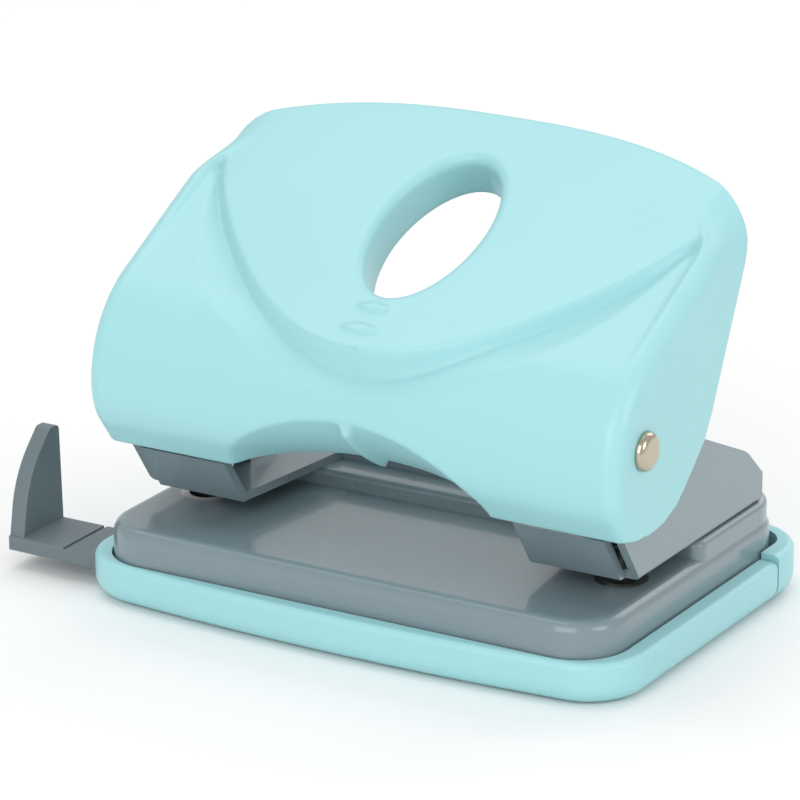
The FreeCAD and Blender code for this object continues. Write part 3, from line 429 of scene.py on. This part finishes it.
@dataclass(frozen=True)
class EnamelFinish(Finish):
    """Sprayed enamel on pressed steel: the grain gives way to a slow ripple."""

    def add_relief(self, tree: bpy.types.NodeTree, surface: bpy.types.Node,
                   groups: dict[str, bpy.types.NodeTree]) -> None:
        """Lead the enamel's ripple through a Bump node to the shader's normal."""
        flow = tree.nodes.new("ShaderNodeGroup")
        flow.node_tree = groups["flow"]
        bump = tree.nodes.new("ShaderNodeBump")
        bump.inputs["Distance"].default_value = self.grain_height
        tree.links.new(flow.outputs["Height"], bump.inputs["Height"])
        tree.links.new(bump.outputs["Normal"], tree.nodes["Principled BSDF"].inputs["Normal"])


@dataclass(frozen=True)
class SteelFinish(Finish):
    """Bare ground steel: fine lines round the work."""

    def add_relief(self, tree: bpy.types.NodeTree, surface: bpy.types.Node,
                   groups: dict[str, bpy.types.NodeTree]) -> None:
        """Lead the ground lines through a Bump node and add them to the roughness."""
        lines = tree.nodes.new("ShaderNodeGroup")
        lines.node_tree = groups["lines"]
        bump = tree.nodes.new("ShaderNodeBump")
        bump.inputs["Distance"].default_value = self.grain_height
        tree.links.new(lines.outputs["Height"], bump.inputs["Height"])
        shader = tree.nodes["Principled BSDF"]
        tree.links.new(bump.outputs["Normal"], shader.inputs["Normal"])
        total = tree.nodes.new("ShaderNodeMath")
        total.operation = "ADD"
        tree.links.new(surface.outputs["Roughness"], total.inputs[0])
        tree.links.new(lines.outputs["Roughness Change"], total.inputs[1])
        tree.links.new(total.outputs["Value"], shader.inputs["Roughness"])


FINISHES: tuple[Finish, ...] = (
    Finish(Slot.MINT, (0.335, 0.640, 0.668), gloss=0.36, grain_height=0.000006),
    Finish(Slot.GREY_PLASTIC, (0.135, 0.175, 0.190), gloss=0.42, grain_height=0.000006),
    EnamelFinish(Slot.ENAMEL, (0.178, 0.240, 0.265), gloss=0.30, grain_height=0.000005, coat=0.7,
                 coat_roughness=0.10),
    SteelFinish(Slot.TOOL_STEEL, (0.52, 0.52, 0.51), gloss=0.26, grain_height=0.000003, metallic=1.0),
    SteelFinish(Slot.SPRING_STEEL, (0.40, 0.40, 0.41), gloss=0.24, grain_height=0.000003, metallic=1.0),
    Finish(Slot.NICKEL, (0.52, 0.46, 0.36), gloss=0.18, smudge=0.03, grain_height=0.000001, metallic=1.0),
)


class Wardrobe:
    """Every finish of the punch, built once and handed to the pieces by slot."""

    def __init__(self) -> None:
        """Build the shared groups and the finishes."""
        groups = {"surface": make_surface_group(), "flow": make_flow_group(), "lines": make_brushed_group()}
        self.materials = {finish.slot: finish.build(groups) for finish in FINISHES}

    def dress(self, piece: bpy.types.Object, slot: Slot) -> bpy.types.Object:
        """Give a new piece its finish."""
        piece.data.materials.clear()
        piece.data.materials.append(self.materials[slot])
        return piece

    def dress_node(self, node: str, slot: Slot) -> None:
        """Give a CAD node that stays its finish."""
        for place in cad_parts[node].material_slots:
            place.material = self.materials[slot]


# ------------------------------------------------------------------------------------------- handle
@dataclass
class HandleShell:
    """The moulded lever: a rounded wedge with a raised dome, an oval window, a dished front and an arch.

    Attributes:
        wall: the thickness of the moulding.
        edge: how far the rounded rim of every free edge stands out.
        deck: the height of the plate that the handle's heights start from.
        crest_height: how high the plain slope lies above the dies.
        dome_height: how high the dome's plane lies above the dies.
        groove_inner, groove_wall, groove_reach: where the groove starts, falls and ends, as shares of the
            dome's ellipse.
        groove_start, groove_fade: the angle round the dome where the groove begins, and how fast.
        ridge_foot, ridge_length: where the ridge along each end starts, and how far it takes to rise.
        marks: the centre, half width and half length of each lens in front of the window.
    """

    wall: float = 2.0
    edge: float = 0.9
    deck: float = 13.5
    slope: float = math.radians(26.0)
    crest_height: float = 46.9
    dome_height: float = 48.6
    front: float = -21.4
    lip: float = -15.6
    lip_height: float = 12.0
    knee_height: float = 19.6
    knee_round: float = 12.0
    front_round: float = 20.0
    end_round: float = 3.0
    end_round_growth: float = 6.0
    rear: float = 33.5
    rear_bow: float = 9.5
    corner_sweep: float = 3.0
    dome_centre: float = 30.0
    dome_reach: float = 46.9
    dome_depth: float = 50.8
    dome_crown: float = 0.9
    groove_inner: float = 1.015
    groove_pinch: float = 0.075
    groove_wall: float = 0.030
    groove_reach: float = 0.118
    groove_depth: float = 1.5
    groove_start: float = math.radians(8.0)
    groove_fade: float = math.radians(4.0)
    groove_spread: float = math.radians(52.0)
    groove_full: float = math.radians(38.0)
    groove_bank: float = 0.012
    crease: float = 0.06
    crease_end: float = 1.08
    ridge_height: float = 0.9
    ridge_width: float = 0.9
    ridge_foot: float = -22.0
    ridge_length: float = 40.0
    window_centre: float = 8.3
    window_width: float = 9.4
    window_length: float = 17.2
    window_round: float = 2.0
    collar_depth: float = 7.2
    arch_half: float = 23.3
    arch_rise: float = 3.3
    dish_half: float = 25.0
    dish_rise: float = 14.0
    dish_slope: float = 0.95
    rib_half: float = 1.0
    rib_depth: float = 1.9
    rib_drop: float = 1.6
    marks: tuple[tuple[float, float, float], ...] = ((-12.7, 3.5, 1.2), (-17.6, 4.1, 1.3))
    mark_height: float = 0.55
    half_length: float = field(init=False)

    def __post_init__(self) -> None:
        """Take the handle's length from the CAD node and sample its side profile."""
        low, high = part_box("handle_shell")
        self.half_length = (high.x - low.x) / 2 / MM
        rise = math.tan(self.slope)
        crest = self.deck + self.crest_height
        self.along = np.array([math.cos(self.slope), math.sin(self.slope)])
        self.outward = np.array([-math.sin(self.slope), math.cos(self.slope)])
        far = self.rear + 10.0
        self.profile = rounded_path(
            [(self.lip, self.deck + self.lip_height), (self.front, self.deck + self.knee_height),
             (self.front, crest + self.front * rise), (far, crest + far * rise)],
            [self.knee_round, self.front_round], 0.1)
        steps = np.linalg.norm(np.diff(self.profile, axis=0), axis=1)
        self.length = np.concatenate([[0.0], np.cumsum(steps)])

    def profile_point(self, station: np.ndarray) -> np.ndarray:
        """The (y, z) points of the side profile at distances along it from the lip."""
        return np.stack([np.interp(station, self.length, self.profile[:, axis]) for axis in range(2)], -1)

    def station_at(self, back: np.ndarray) -> np.ndarray:
        """The distance along the profile of a point on the slope, from how far back it lies."""
        end = self.profile[-1, 0]
        return self.length[-1] - (end - back) / self.along[0]

    def rear_edge(self, across: np.ndarray) -> np.ndarray:
        """How far back the rear edge lies: the middle less the bow times the share across to a power."""
        return self.rear - self.rear_bow * (np.abs(across) / self.half_length) ** 2.6

    def slope_place(self, points: np.ndarray) -> np.ndarray:
        """The place of (y, z) points along the dome's plane, from the line above the dies."""
        return (points - np.array([0.0, self.deck + self.dome_height])) @ self.along

    def end_rounding(self, station: np.ndarray) -> np.ndarray:
        """The radius between top and end wall: small in front and growing softly towards the rear."""
        start = float(self.station_at(np.array(14.0)))
        return self.end_round + self.end_round_growth * smooth_step((station - start) / 20.0)

    def raised(self, across: np.ndarray, flat: np.ndarray, end: np.ndarray) -> np.ndarray:
        """How far each point of the plain surface is lifted square to the dome's plane.

        Inside the dome's ellipse a point rises to the plane, less a crown of the fourth power towards the
        edge.  Outside it lies a groove: a soft step down to its valley and a straight rise to the plain
        surface.  A ridge along each end sinks from the dome's corner to the knee, and the two marks in front
        of the window are low lenses on top of that.

        Args:
            across: the x of each point.
            flat: the (y, z) of each point on the plain surface.
            end: how far out the rounding of the end begins at each point.

        Returns:
            The lift of each point.
        """
        place = self.slope_place(flat)
        gap = -((flat - np.array([0.0, self.deck + self.dome_height])) @ self.outward)
        ahead = (self.dome_centre - place) / self.dome_depth
        ring = np.hypot(across / self.dome_reach, ahead)
        turn = np.arctan2(ahead, np.abs(across) / self.dome_reach)
        inner = self.groove_inner - self.groove_pinch * np.sin(2.0 * turn) ** 2
        valley = inner + self.groove_wall
        spread_out = smooth_step((turn - self.groove_start) / self.groove_spread)
        outer = np.maximum(1.0 + self.groove_reach * spread_out, valley + self.groove_bank)
        crown = self.dome_crown * np.minimum(ring / inner, 1.0) ** 4
        depth = self.groove_depth * smooth_step(turn / self.groove_full)
        fall = smooth_step((ring - inner) / self.groove_wall)
        fall = fall * smooth_step((turn - self.groove_start) / self.groove_fade)
        rise = np.clip((ring - valley) / (outer - valley), 0.0, 1.0)
        left = soft_positive(1.0 - rise, self.crease) * (ring < outer * self.crease_end)
        lift = (gap - crown) * (1.0 - fall) - depth * fall * left
        ridge = self.ridge_height * smooth_step((place - self.ridge_foot) / self.ridge_length)
        near_end = smooth_step((np.abs(across) - end) / self.ridge_width + 1.0)
        lift = lift + np.maximum(ridge - lift, 0.0) * near_end
        for centre, half_width, half_length in self.marks:
            lens = 1.0 - (across / half_width) ** 2 - ((place - centre) / half_length) ** 2
            lift = lift + self.mark_height * smooth_step(lens * 1.3)
        return lift

    def arch_height(self, across: np.ndarray) -> np.ndarray:
        """The height of the lower front edge: level, with a shallow circular arch in its middle."""
        radius = (self.arch_half ** 2 + self.arch_rise ** 2) / (2 * self.arch_rise)
        drop = radius - np.sqrt(np.maximum(radius ** 2 - across ** 2, 0.0))
        rib = self.rib_drop * self.rib_share(across)
        return self.deck + self.lip_height + self.edge + soft_positive(self.arch_rise - drop, 0.4) - rib

    def rib_share(self, across: np.ndarray) -> np.ndarray:
        """1 on the small rib in the middle of the arch and 0 beside it."""
        return 1.0 - smooth_step((np.abs(across) - 0.5 * self.rib_half) / self.rib_half)

    def dish_depth(self, across: np.ndarray, height: np.ndarray) -> np.ndarray:
        """How far the front is scooped back: a steady slope below an arched line, less the rib."""
        share = np.maximum(1.0 - (across / self.dish_half) ** 2, 0.0)
        line = self.deck + self.lip_height + self.dish_rise * share ** 0.6
        below = soft_positive(line - height, 0.25) * (share > 0)
        rib = self.rib_depth * self.rib_share(across) * smooth_step(below / 3.0)
        return self.dish_slope * below * smooth_step(share * 6.0) - rib

    def top_grid(self) -> tuple[np.ndarray, np.ndarray, tuple[slice, slice]]:
        """The stations and crossings of the upper skin, drawn in to an ellipse round the window.

        A square block of the grid is pulled to a circle by dividing by its length, and the pull fades to
        nothing at the edge of a larger block.

        Returns:
            The distance along the profile and the x of each grid point, and the block of the window.
        """
        centre = float(self.station_at(np.array(self.window_centre * self.along[0]
                                                + (self.dome_height - self.crest_height)
                                                * self.along[0] * self.along[1])))
        half_x = self.window_width + self.window_round
        half_s = self.window_length + self.window_round
        end = float(self.station_at(np.array(self.rear)))
        flat_half = self.half_length - self.end_round
        stations = joined(np.linspace(0.0, centre - half_s, 74),
                          np.linspace(centre - half_s, centre + half_s, 71),
                          np.linspace(centre + half_s, end, 18))
        side = np.linspace(half_x, flat_half, 66)
        crossings = joined(-side[::-1], np.linspace(-half_x, half_x, 47), side)
        block = (slice(73, 144), slice(65, 112))
        across, station = np.meshgrid(crossings, stations)
        square = np.stack([across / half_x, (station - centre) / half_s], -1)
        size = np.abs(square).max(-1)
        outer = np.maximum(np.abs(square[..., 0]) / 3.2, np.abs(square[..., 1]) / 1.36)
        beyond = np.maximum(size - 1.0, 0.0)
        left = np.maximum(1.0 - outer, 0.0)
        pull = 1.0 - smooth_step(beyond / np.maximum(beyond + left, 1e-9))
        length = np.maximum(np.linalg.norm(square, axis=-1), 1e-9)
        pull = np.where(outer < 1.0, pull, 0.0) * (size > 0)
        scale = 1.0 + pull * (size / length - 1.0)
        return centre + square[..., 1] * scale * half_s, square[..., 0] * scale * half_x, block

    def top_points(self) -> tuple[np.ndarray, np.ndarray, np.ndarray, np.ndarray, tuple[slice, slice]]:
        """The upper skin from the lower front edge to the rear edge, up to where the ends round over.

        Returns:
            The points; for each row the (y, z) of the plain profile under its outermost column, the radius
            of the end rounding and the lift of that column; and the block of the window.
        """
        station, across, block = self.top_grid()
        bend = float(self.station_at(np.array(5.0)))
        end = float(self.station_at(np.array(self.rear)))
        radius = self.end_rounding(station)
        half_x = self.window_width + self.window_round
        flat_half = self.half_length - self.end_round
        room = (self.half_length - radius - half_x) / (flat_half - half_x)
        beyond = np.maximum(np.abs(across) - half_x, 0.0)
        across = np.sign(across) * (np.minimum(np.abs(across), half_x) + beyond * room)
        rear = self.station_at(self.rear_edge(across)) - self.edge
        station = np.where(station > bend, bend + (station - bend) * (rear - bend) / (end - bend), station)
        start = np.interp(self.arch_height(across), self.profile[:200, 1], self.length[:200])
        front = station[block[0].start, 0]
        station = np.where(station < front, start + station * (front - start) / front, station)
        flat = self.profile_point(station)
        lift = self.raised(across, flat, self.half_length - radius)
        skin = flat + lift[..., None] * self.outward
        skin[..., 0] += self.dish_depth(across, skin[..., 1])
        points = np.concatenate([across[..., None], skin], -1)
        return points, flat[:, 0], radius[:, 0], lift[:, 0], block

    def end_points(self, start: np.ndarray, radius: np.ndarray, lift: np.ndarray) -> np.ndarray:
        """The right end: over the rounding and down the flat end wall to its rear and lower edges.

        In the plane of the wall each row is a blend from a straight line to the wall's own rear edge.  The
        x of a point follows from its depth under the profile: the flat part less the radius, plus the
        height of a circle of that radius at the depth.  The lift fades out across the rounding, and the
        rear corner is swept forward as the rounding turns.

        Args:
            start: the (y, z) of each row on the profile.
            radius: the radius of the rounding at each row.
            lift: how far each row's first point stands above the profile.

        Returns:
            A grid of points, one row for each start, without the first column.
        """
        foot = self.deck + self.lip_height + self.edge
        bends = np.array([(24.8 - self.edge, self.deck + 53.0), (10.4 - self.edge, self.deck + 23.5),
                          (-2.5, foot), (-6.0, foot)]) + self.corner_sweep * self.along
        rear_path = rounded_path([tuple(start[-1]), *map(tuple, bends)], [5.0, 12.0, 13.0], 0.2)
        share = np.linspace(0.0, 1.0, len(start))[:, None, None]
        foot_end = np.stack([np.linspace(-12.0, -6.0, len(start)), np.full(len(start), foot)], -1)
        span = np.linalg.norm(foot_end - start, axis=1)
        turn = np.linspace(0.0, math.pi / 2, 10)[1:]
        arc = radius[:, None] * (1.0 - np.cos(turn))[None, :] * 1.05 / span[:, None]
        last = arc[:, -1:]
        flat_share = np.linspace(0.0, 1.0, 13)[None, 1:]
        down = np.concatenate([arc, last + (1.0 - last) * flat_share], 1)[..., None]
        straight = start[:, None, :] * (1.0 - down) + foot_end[:, None, :] * down
        places = np.linspace(0.0, 1.0, len(rear_path))
        edge = np.stack([np.interp(down[..., 0], places, rear_path[:, axis]) for axis in range(2)], -1)
        edge = edge + (start - start[-1])[:, None, :] * (1.0 - down)
        edge = edge + (foot_end - foot_end[-1])[:, None, :] * down
        bent = share ** 4
        plane = straight * (1.0 - bent) + edge * bent
        near = self.profile[::2]
        depth = np.linalg.norm(plane[:, :, None, :] - near, axis=-1).min(-1)
        fade = smooth_step(depth / radius[:, None])
        held = np.minimum(depth + lift[:, None] * fade, radius[:, None])
        bulge = np.sqrt(np.maximum(radius[:, None] ** 2 - (radius[:, None] - held) ** 2, 0.0))
        across = self.half_length - radius[:, None] + bulge
        fading = lift[:, None] * (1.0 - fade)
        sweep = self.corner_sweep * bent[..., 0] * bulge / radius[:, None]
        place = plane + fading[..., None] * self.outward - sweep[..., None] * self.along
        return np.concatenate([across[..., None], place], -1)

    def build(self) -> bpy.types.Object:
        """The whole moulding as one closed shell.

        The outer skin is one grid across both ends; the inner skin is the same grid moved in by the wall
        along its normals; a rounded strip joins the two round every free edge, and a collar joins them
        round the window.

        Returns:
            The handle's object.
        """
        top, start, radius, lift, block = self.top_points()
        right = self.end_points(start, radius, lift)
        left = right[:, ::-1] * np.array([-1.0, 1.0, 1.0])
        outer = np.concatenate([left, top, right], 1)
        rows, columns = outer.shape[:2]
        normals = grid_normals(outer)
        if normals[rows // 2, columns // 2, 2] < 0:
            normals = -normals
        inner = outer - normals * self.wall
        points = [outer.reshape(-1, 3), inner.reshape(-1, 3)]
        number = np.arange(rows * columns).reshape(rows, columns)
        faces = grid_faces(number)
        hole_rows = block[0]
        hole_columns = slice(block[1].start + left.shape[1], block[1].stop + left.shape[1])
        inside = number[hole_rows, hole_columns][:-1, :-1].reshape(-1)
        faces = faces[~np.isin(faces[:, 0], inside)]
        everything = [faces, faces[:, ::-1] + rows * columns]
        count = 2 * rows * columns
        rim = self.loop(number)
        strip = self.edge_strip(outer, inner, number, rim)
        everything.append(self.strip_faces(rim, strip.shape[0], count, rows * columns)[:, ::-1])
        points.append(strip.reshape(-1, 3))
        count += strip.shape[0] * strip.shape[1]
        ring = self.loop(number[hole_rows, hole_columns])
        collar = self.collar(outer.reshape(-1, 3)[ring])
        everything.append(self.strip_faces(ring, collar.shape[0], count, rows * columns))
        points.append(collar.reshape(-1, 3))
        return make_object("handle_moulding", np.concatenate(points), np.concatenate(everything))

    @staticmethod
    def loop(number: np.ndarray) -> np.ndarray:
        """The vertex numbers once round the edge of a grid."""
        return np.concatenate([number[0, :-1], number[:-1, -1], number[-1, :0:-1], number[:0:-1, 0]])

    @staticmethod
    def strip_faces(loop: np.ndarray, layers: int, first: int, inner: int) -> np.ndarray:
        """The quads of a closed strip from a loop on the outer skin, through layers, to the inner skin.

        Args:
            loop: the loop's vertex numbers on the outer skin.
            layers: the number of loops between the two skins.
            first: the vertex number of the first of those.
            inner: what is added to a number on the outer skin to give the one below it.

        Returns:
            The quads, as rows of four.
        """
        between = first + np.arange(layers * len(loop)).reshape(layers, len(loop))
        grid = np.concatenate([loop[None], between, loop[None] + inner])
        return grid_faces(np.concatenate([grid, grid[:, :1]], 1))

    def edge_strip(self, outer: np.ndarray, inner: np.ndarray, number: np.ndarray,
                   loop: np.ndarray) -> np.ndarray:
        """The rounded free edge: half an ellipse from the outer skin to the inner one.

        Args:
            outer: the grid of the outer skin.
            inner: the grid of the inner skin.
            number: the vertex numbers of the grid.
            loop: the numbers round its edge.

        Returns:
            The loops of points between the two skins.
        """
        padded = outer.copy()
        padded[0] = 2 * outer[0] - outer[1]
        padded[-1] = 2 * outer[-1] - outer[-2]
        padded[1:-1, 0] = 2 * outer[1:-1, 0] - outer[1:-1, 1]
        padded[1:-1, -1] = 2 * outer[1:-1, -1] - outer[1:-1, -2]
        away = (padded - outer).reshape(-1, 3)[loop]
        for _ in range(3):
            away = (np.roll(away, 1, 0) + 2 * away + np.roll(away, -1, 0)) / 4
        away /= np.maximum(np.linalg.norm(away, axis=1, keepdims=True), 1e-9)
        top = outer.reshape(-1, 3)[loop]
        bottom = inner.reshape(-1, 3)[loop]
        turn = np.linspace(0.0, math.pi, 9)[1:-1, None, None]
        middle = (top + bottom) / 2
        return middle + (top - bottom) / 2 * np.cos(turn) + away * self.edge * np.sin(turn)

    def collar(self, edge: np.ndarray) -> np.ndarray:
        """The window's collar: a rounded rim, a straight wall down and a blunt foot.

        Each loop is the window's edge drawn in and sunk square to the dome by pairs of numbers that follow
        a quarter circle, a line and a half circle.

        Args:
            edge: the points of the window's edge on the outer skin.

        Returns:
            The loops of points between the outer and the inner skin.
        """
        turn = np.linspace(0.0, math.pi / 2, 8)[1:]
        rim = np.stack([self.window_round * np.sin(turn), self.window_round * (1 - np.cos(turn))], -1)
        sides = np.linspace(self.window_round, self.collar_depth, 8)[1:]
        wall = np.stack([np.full(len(sides), self.window_round), sides], -1)
        half = self.window_round / 2
        round_foot = np.linspace(0.0, math.pi, 8)[1:]
        foot = np.stack([half + half * np.cos(round_foot), self.collar_depth + half * np.sin(round_foot)], -1)
        rise = np.linspace(self.collar_depth, self.wall, 5)[1:-1]
        back = np.stack([np.zeros(len(rise)), rise], -1)
        pairs = np.concatenate([rim, wall, foot, back])
        middle = edge.mean(0)
        spread_out = edge - middle
        slope_axis = np.array([0.0, *self.along])
        square = np.array([0.0, *self.outward])
        half_x = self.window_width + self.window_round
        half_s = self.window_length + self.window_round
        share_x = spread_out[:, 0] / half_x
        share_s = spread_out @ slope_axis / half_s
        inward = share_x[:, None] * np.array([1.0, 0.0, 0.0]) + share_s[:, None] * slope_axis
        return edge[None] - pairs[:, 0, None, None] * inward[None] - pairs[:, 1, None, None] * square

    def dress(self, wardrobe: Wardrobe) -> None:
        """Build the moulding, give it its finish and let it ride on the handle."""
        piece = wardrobe.dress(self.build(), Slot.MINT)
        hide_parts("handle_shell")
        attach(piece, Body.HANDLE.value)
        log.info("%s: %d faces", piece.name, len(piece.data.polygons))


@dataclass
class HandleRibs:
    """The two ribs inside the handle that carry the press bar, as plates with rounded edges."""

    thick: float = 2.0
    round: float = 0.4

    def outline(self) -> np.ndarray:
        """The rib's outline seen from the side, from the press bar's height up to the roof."""
        low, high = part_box("press_bar")
        bar = (low.z + high.z) / 2 / MM
        return np.array([(-5.0, bar - 5.0), (5.0, bar - 5.0), (10.0, bar + 5.0), (10.0, 63.6),
                         (-10.0, 53.9), (-16.5, 48.5), (-19.6, 42.0), (-19.9, 36.5)])

    def build(self, name: str, inner: float, outer: float) -> bpy.types.Object:
        """One rib between two planes, its rim drawn in on each face by a quarter circle.

        Args:
            name: the piece's name.
            inner: the x of one face.
            outer: the x of the other.

        Returns:
            The rib's object.
        """
        flat = self.outline()
        middle = flat.mean(0)
        turn = np.linspace(0.0, math.pi / 2, 4)
        draw = self.round * (1 - np.sin(turn))
        rise = self.round * (1 - np.cos(turn))
        layers = [(inner + up, inset) for up, inset in zip(rise, draw)]
        layers += [(outer - up, inset) for up, inset in zip(rise[::-1], draw[::-1])]
        reach = np.linalg.norm(flat - middle, axis=1, keepdims=True)
        rings = [np.column_stack([np.full(len(flat), across), middle + (flat - middle) * (1 - inset / reach)])
                 for across, inset in layers]
        count = len(flat)
        number = np.arange(len(rings) * count).reshape(len(rings), count)
        faces = [list(face) for face in grid_faces(np.concatenate([number, number[:, :1]], 1))]
        faces += [list(number[0][::-1]), list(number[-1])]
        return make_object(name, np.concatenate(rings), faces)

    def dress(self, wardrobe: Wardrobe) -> None:
        """Build both ribs, inside the two punch pins."""
        low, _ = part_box("left_punch_pin")
        inner = -low.x / MM - 13.7
        for side_name, side in (("left", -1), ("right", 1)):
            name = f"handle_{side_name}_rib"
            piece = self.build(name, side * inner, side * (inner + self.thick))
            piece.data.polygons.foreach_set("use_smooth", np.zeros(len(piece.data.polygons), bool))
            wardrobe.dress(piece, Slot.MINT)
            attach(piece, Body.HANDLE.value)
            log.info("%s built", name)


# --------------------------------------------------------------------------------------------- base
@dataclass
class SoftenedPiece:
    """A pressed or moulded part whose CAD shape is right and whose edges are softened."""

    node: str
    name: str
    slot: Slot
    body: Body
    radius: float

    def dress(self, wardrobe: Wardrobe) -> None:
        """Build the piece, give it its finish and let it ride on its body."""
        piece = softened_copy(self.node, self.name, self.radius)
        wardrobe.dress(piece, self.slot)
        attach(piece, self.body.value)
        log.info("%s: %d faces", piece.name, len(piece.data.polygons))


SOFTENED: tuple[SoftenedPiece, ...] = (
    SoftenedPiece("paper_guide", "guide_moulding", Slot.GREY_PLASTIC, Body.PAPER_GUIDE, 0.45),
)

KEPT_NODES: dict[str, Slot] = {
    "base_plate": Slot.ENAMEL,
    "punch_frame": Slot.ENAMEL,
    "frame_rivets": Slot.NICKEL,
    "guide_bracket_rivets": Slot.NICKEL,
    "press_bar": Slot.TOOL_STEEL,
    "tray_rear_rail": Slot.MINT,
    "chip_tray": Slot.MINT,
}
SIDED_NODES: dict[str, Slot] = {
    "die": Slot.TOOL_STEEL,
    "guide_bracket": Slot.SPRING_STEEL,
    "punch_pin": Slot.TOOL_STEEL,
    "retaining_clip": Slot.SPRING_STEEL,
    "return_spring": Slot.SPRING_STEEL,
    "pivot_rivet": Slot.NICKEL,
    "pivot_washer": Slot.SPRING_STEEL,
}


class Works:
    """Every CAD node that stays as it is, in its finish."""

    def dress(self, wardrobe: Wardrobe) -> None:
        """Give each kept node its finish."""
        slots = dict(KEPT_NODES)
        for side_name in ("left", "right"):
            slots.update({f"{side_name}_{part}": slot for part, slot in SIDED_NODES.items()})
        for node, slot in slots.items():
            wardrobe.dress_node(node, slot)
            log.info("%s kept", node)


# -------------------------------------------------------------------------------------------- studio
@dataclass
class Studio:
    """The plain floor, the soft lights and the camera.

    Attributes:
        aim: the point that the camera looks at, in millimetres.
        distance: how far the camera stands from it, in millimetres.
        azimuth: the camera's angle to the right of the front, in degrees.
        elevation: the camera's angle above the level, in degrees.
        lens: the focal length for a 36 mm sensor.
    """

    aim: tuple[float, float, float] = (-5.02, 5.48, 34.53)
    distance: float = 821.25
    azimuth: float = 30.601
    elevation: float = 19.081
    lens: float = 221.71

    def direction(self) -> Vector:
        """The unit direction from the aim to the camera."""
        turn, tilt = math.radians(self.azimuth), math.radians(self.elevation)
        return Vector((math.sin(turn) * math.cos(tilt), -math.cos(turn) * math.cos(tilt), math.sin(tilt)))

    def build_camera(self) -> None:
        """Place the camera and make it the scene's."""
        data = bpy.data.cameras.new("studio_camera")
        data.lens = self.lens
        data.sensor_width = 36.0
        data.clip_start = 0.01
        data.clip_end = 50.0
        camera = bpy.data.objects.new("studio_camera", data)
        bpy.context.scene.collection.objects.link(camera)
        towards = self.direction()
        camera.location = Vector(self.aim) * MM + towards * self.distance * MM
        camera.rotation_euler = (-towards).to_track_quat("-Z", "Y").to_euler()
        bpy.context.scene.camera = camera

    def build_light(self, name: str, place: Sequence[float], size: float, power: float) -> None:
        """One soft square light that faces the middle of the punch.

        Args:
            name: the light's name.
            place: where it hangs, in metres.
            size: the length of its side, in metres.
            power: its power in watts.
        """
        data = bpy.data.lights.new(name, "AREA")
        data.shape = "SQUARE"
        data.size = size
        data.energy = power
        lamp = bpy.data.objects.new(name, data)
        bpy.context.scene.collection.objects.link(lamp)
        lamp.location = Vector(place)
        to_punch = Vector((0.0, 0.0, 0.03)) - lamp.location
        lamp.rotation_euler = to_punch.to_track_quat("-Z", "Y").to_euler()

    def build_floor(self) -> None:
        """A wide pale floor just under the punch."""
        half = 6000.0
        corners = np.array([(-half, -half, 0), (half, -half, 0), (half, half, 0), (-half, half, 0)])
        floor = bpy.data.meshes.new("studio_floor")
        floor.from_pydata((corners * MM - np.array([0, 0, 0.0002])).tolist(), [], [(0, 1, 2, 3)])
        piece = bpy.data.objects.new("studio_floor", floor)
        bpy.context.scene.collection.objects.link(piece)
        pale = bpy.data.materials.new("pale_floor")
        pale.use_nodes = True
        shader = pale.node_tree.nodes["Principled BSDF"]
        shader.inputs["Base Color"].default_value = (0.90, 0.90, 0.90, 1.0)
        shader.inputs["Roughness"].default_value = 0.65
        floor.materials.append(pale)

    def build(self) -> None:
        """Build the floor, the world, the lights and the camera."""
        self.build_floor()
        world = bpy.data.worlds.new("studio_world")
        world.use_nodes = True
        background = world.node_tree.nodes["Background"]
        background.inputs["Color"].default_value = (1.0, 1.0, 1.0, 1.0)
        background.inputs["Strength"].default_value = 0.70
        bpy.context.scene.world = world
        bpy.context.scene.view_settings.view_transform = "Standard"
        self.build_light("key_light", (0.10, -0.95, 0.50), 0.8, 4.2)
        self.build_light("top_light", (-0.35, 0.15, 1.10), 0.8, 3.0)
        self.build_light("right_light", (0.95, -0.15, 0.50), 0.5, 2.2)
        self.build_light("rear_light", (0.1, 0.95, 0.7), 0.8, 2.5)
        self.build_camera()
        log.info("studio built")


def main() -> None:
    """Build the studio, then each part of the punch."""
    logging.basicConfig(level=logging.INFO, format="%(name)s: %(message)s")
    wardrobe = Wardrobe()
    Studio().build()
    Works().dress(wardrobe)
    for piece in SOFTENED:
        piece.dress(wardrobe)
    HandleShell().dress(wardrobe)
    HandleRibs().dress(wardrobe)


if __name__ == "__main__":
    main()
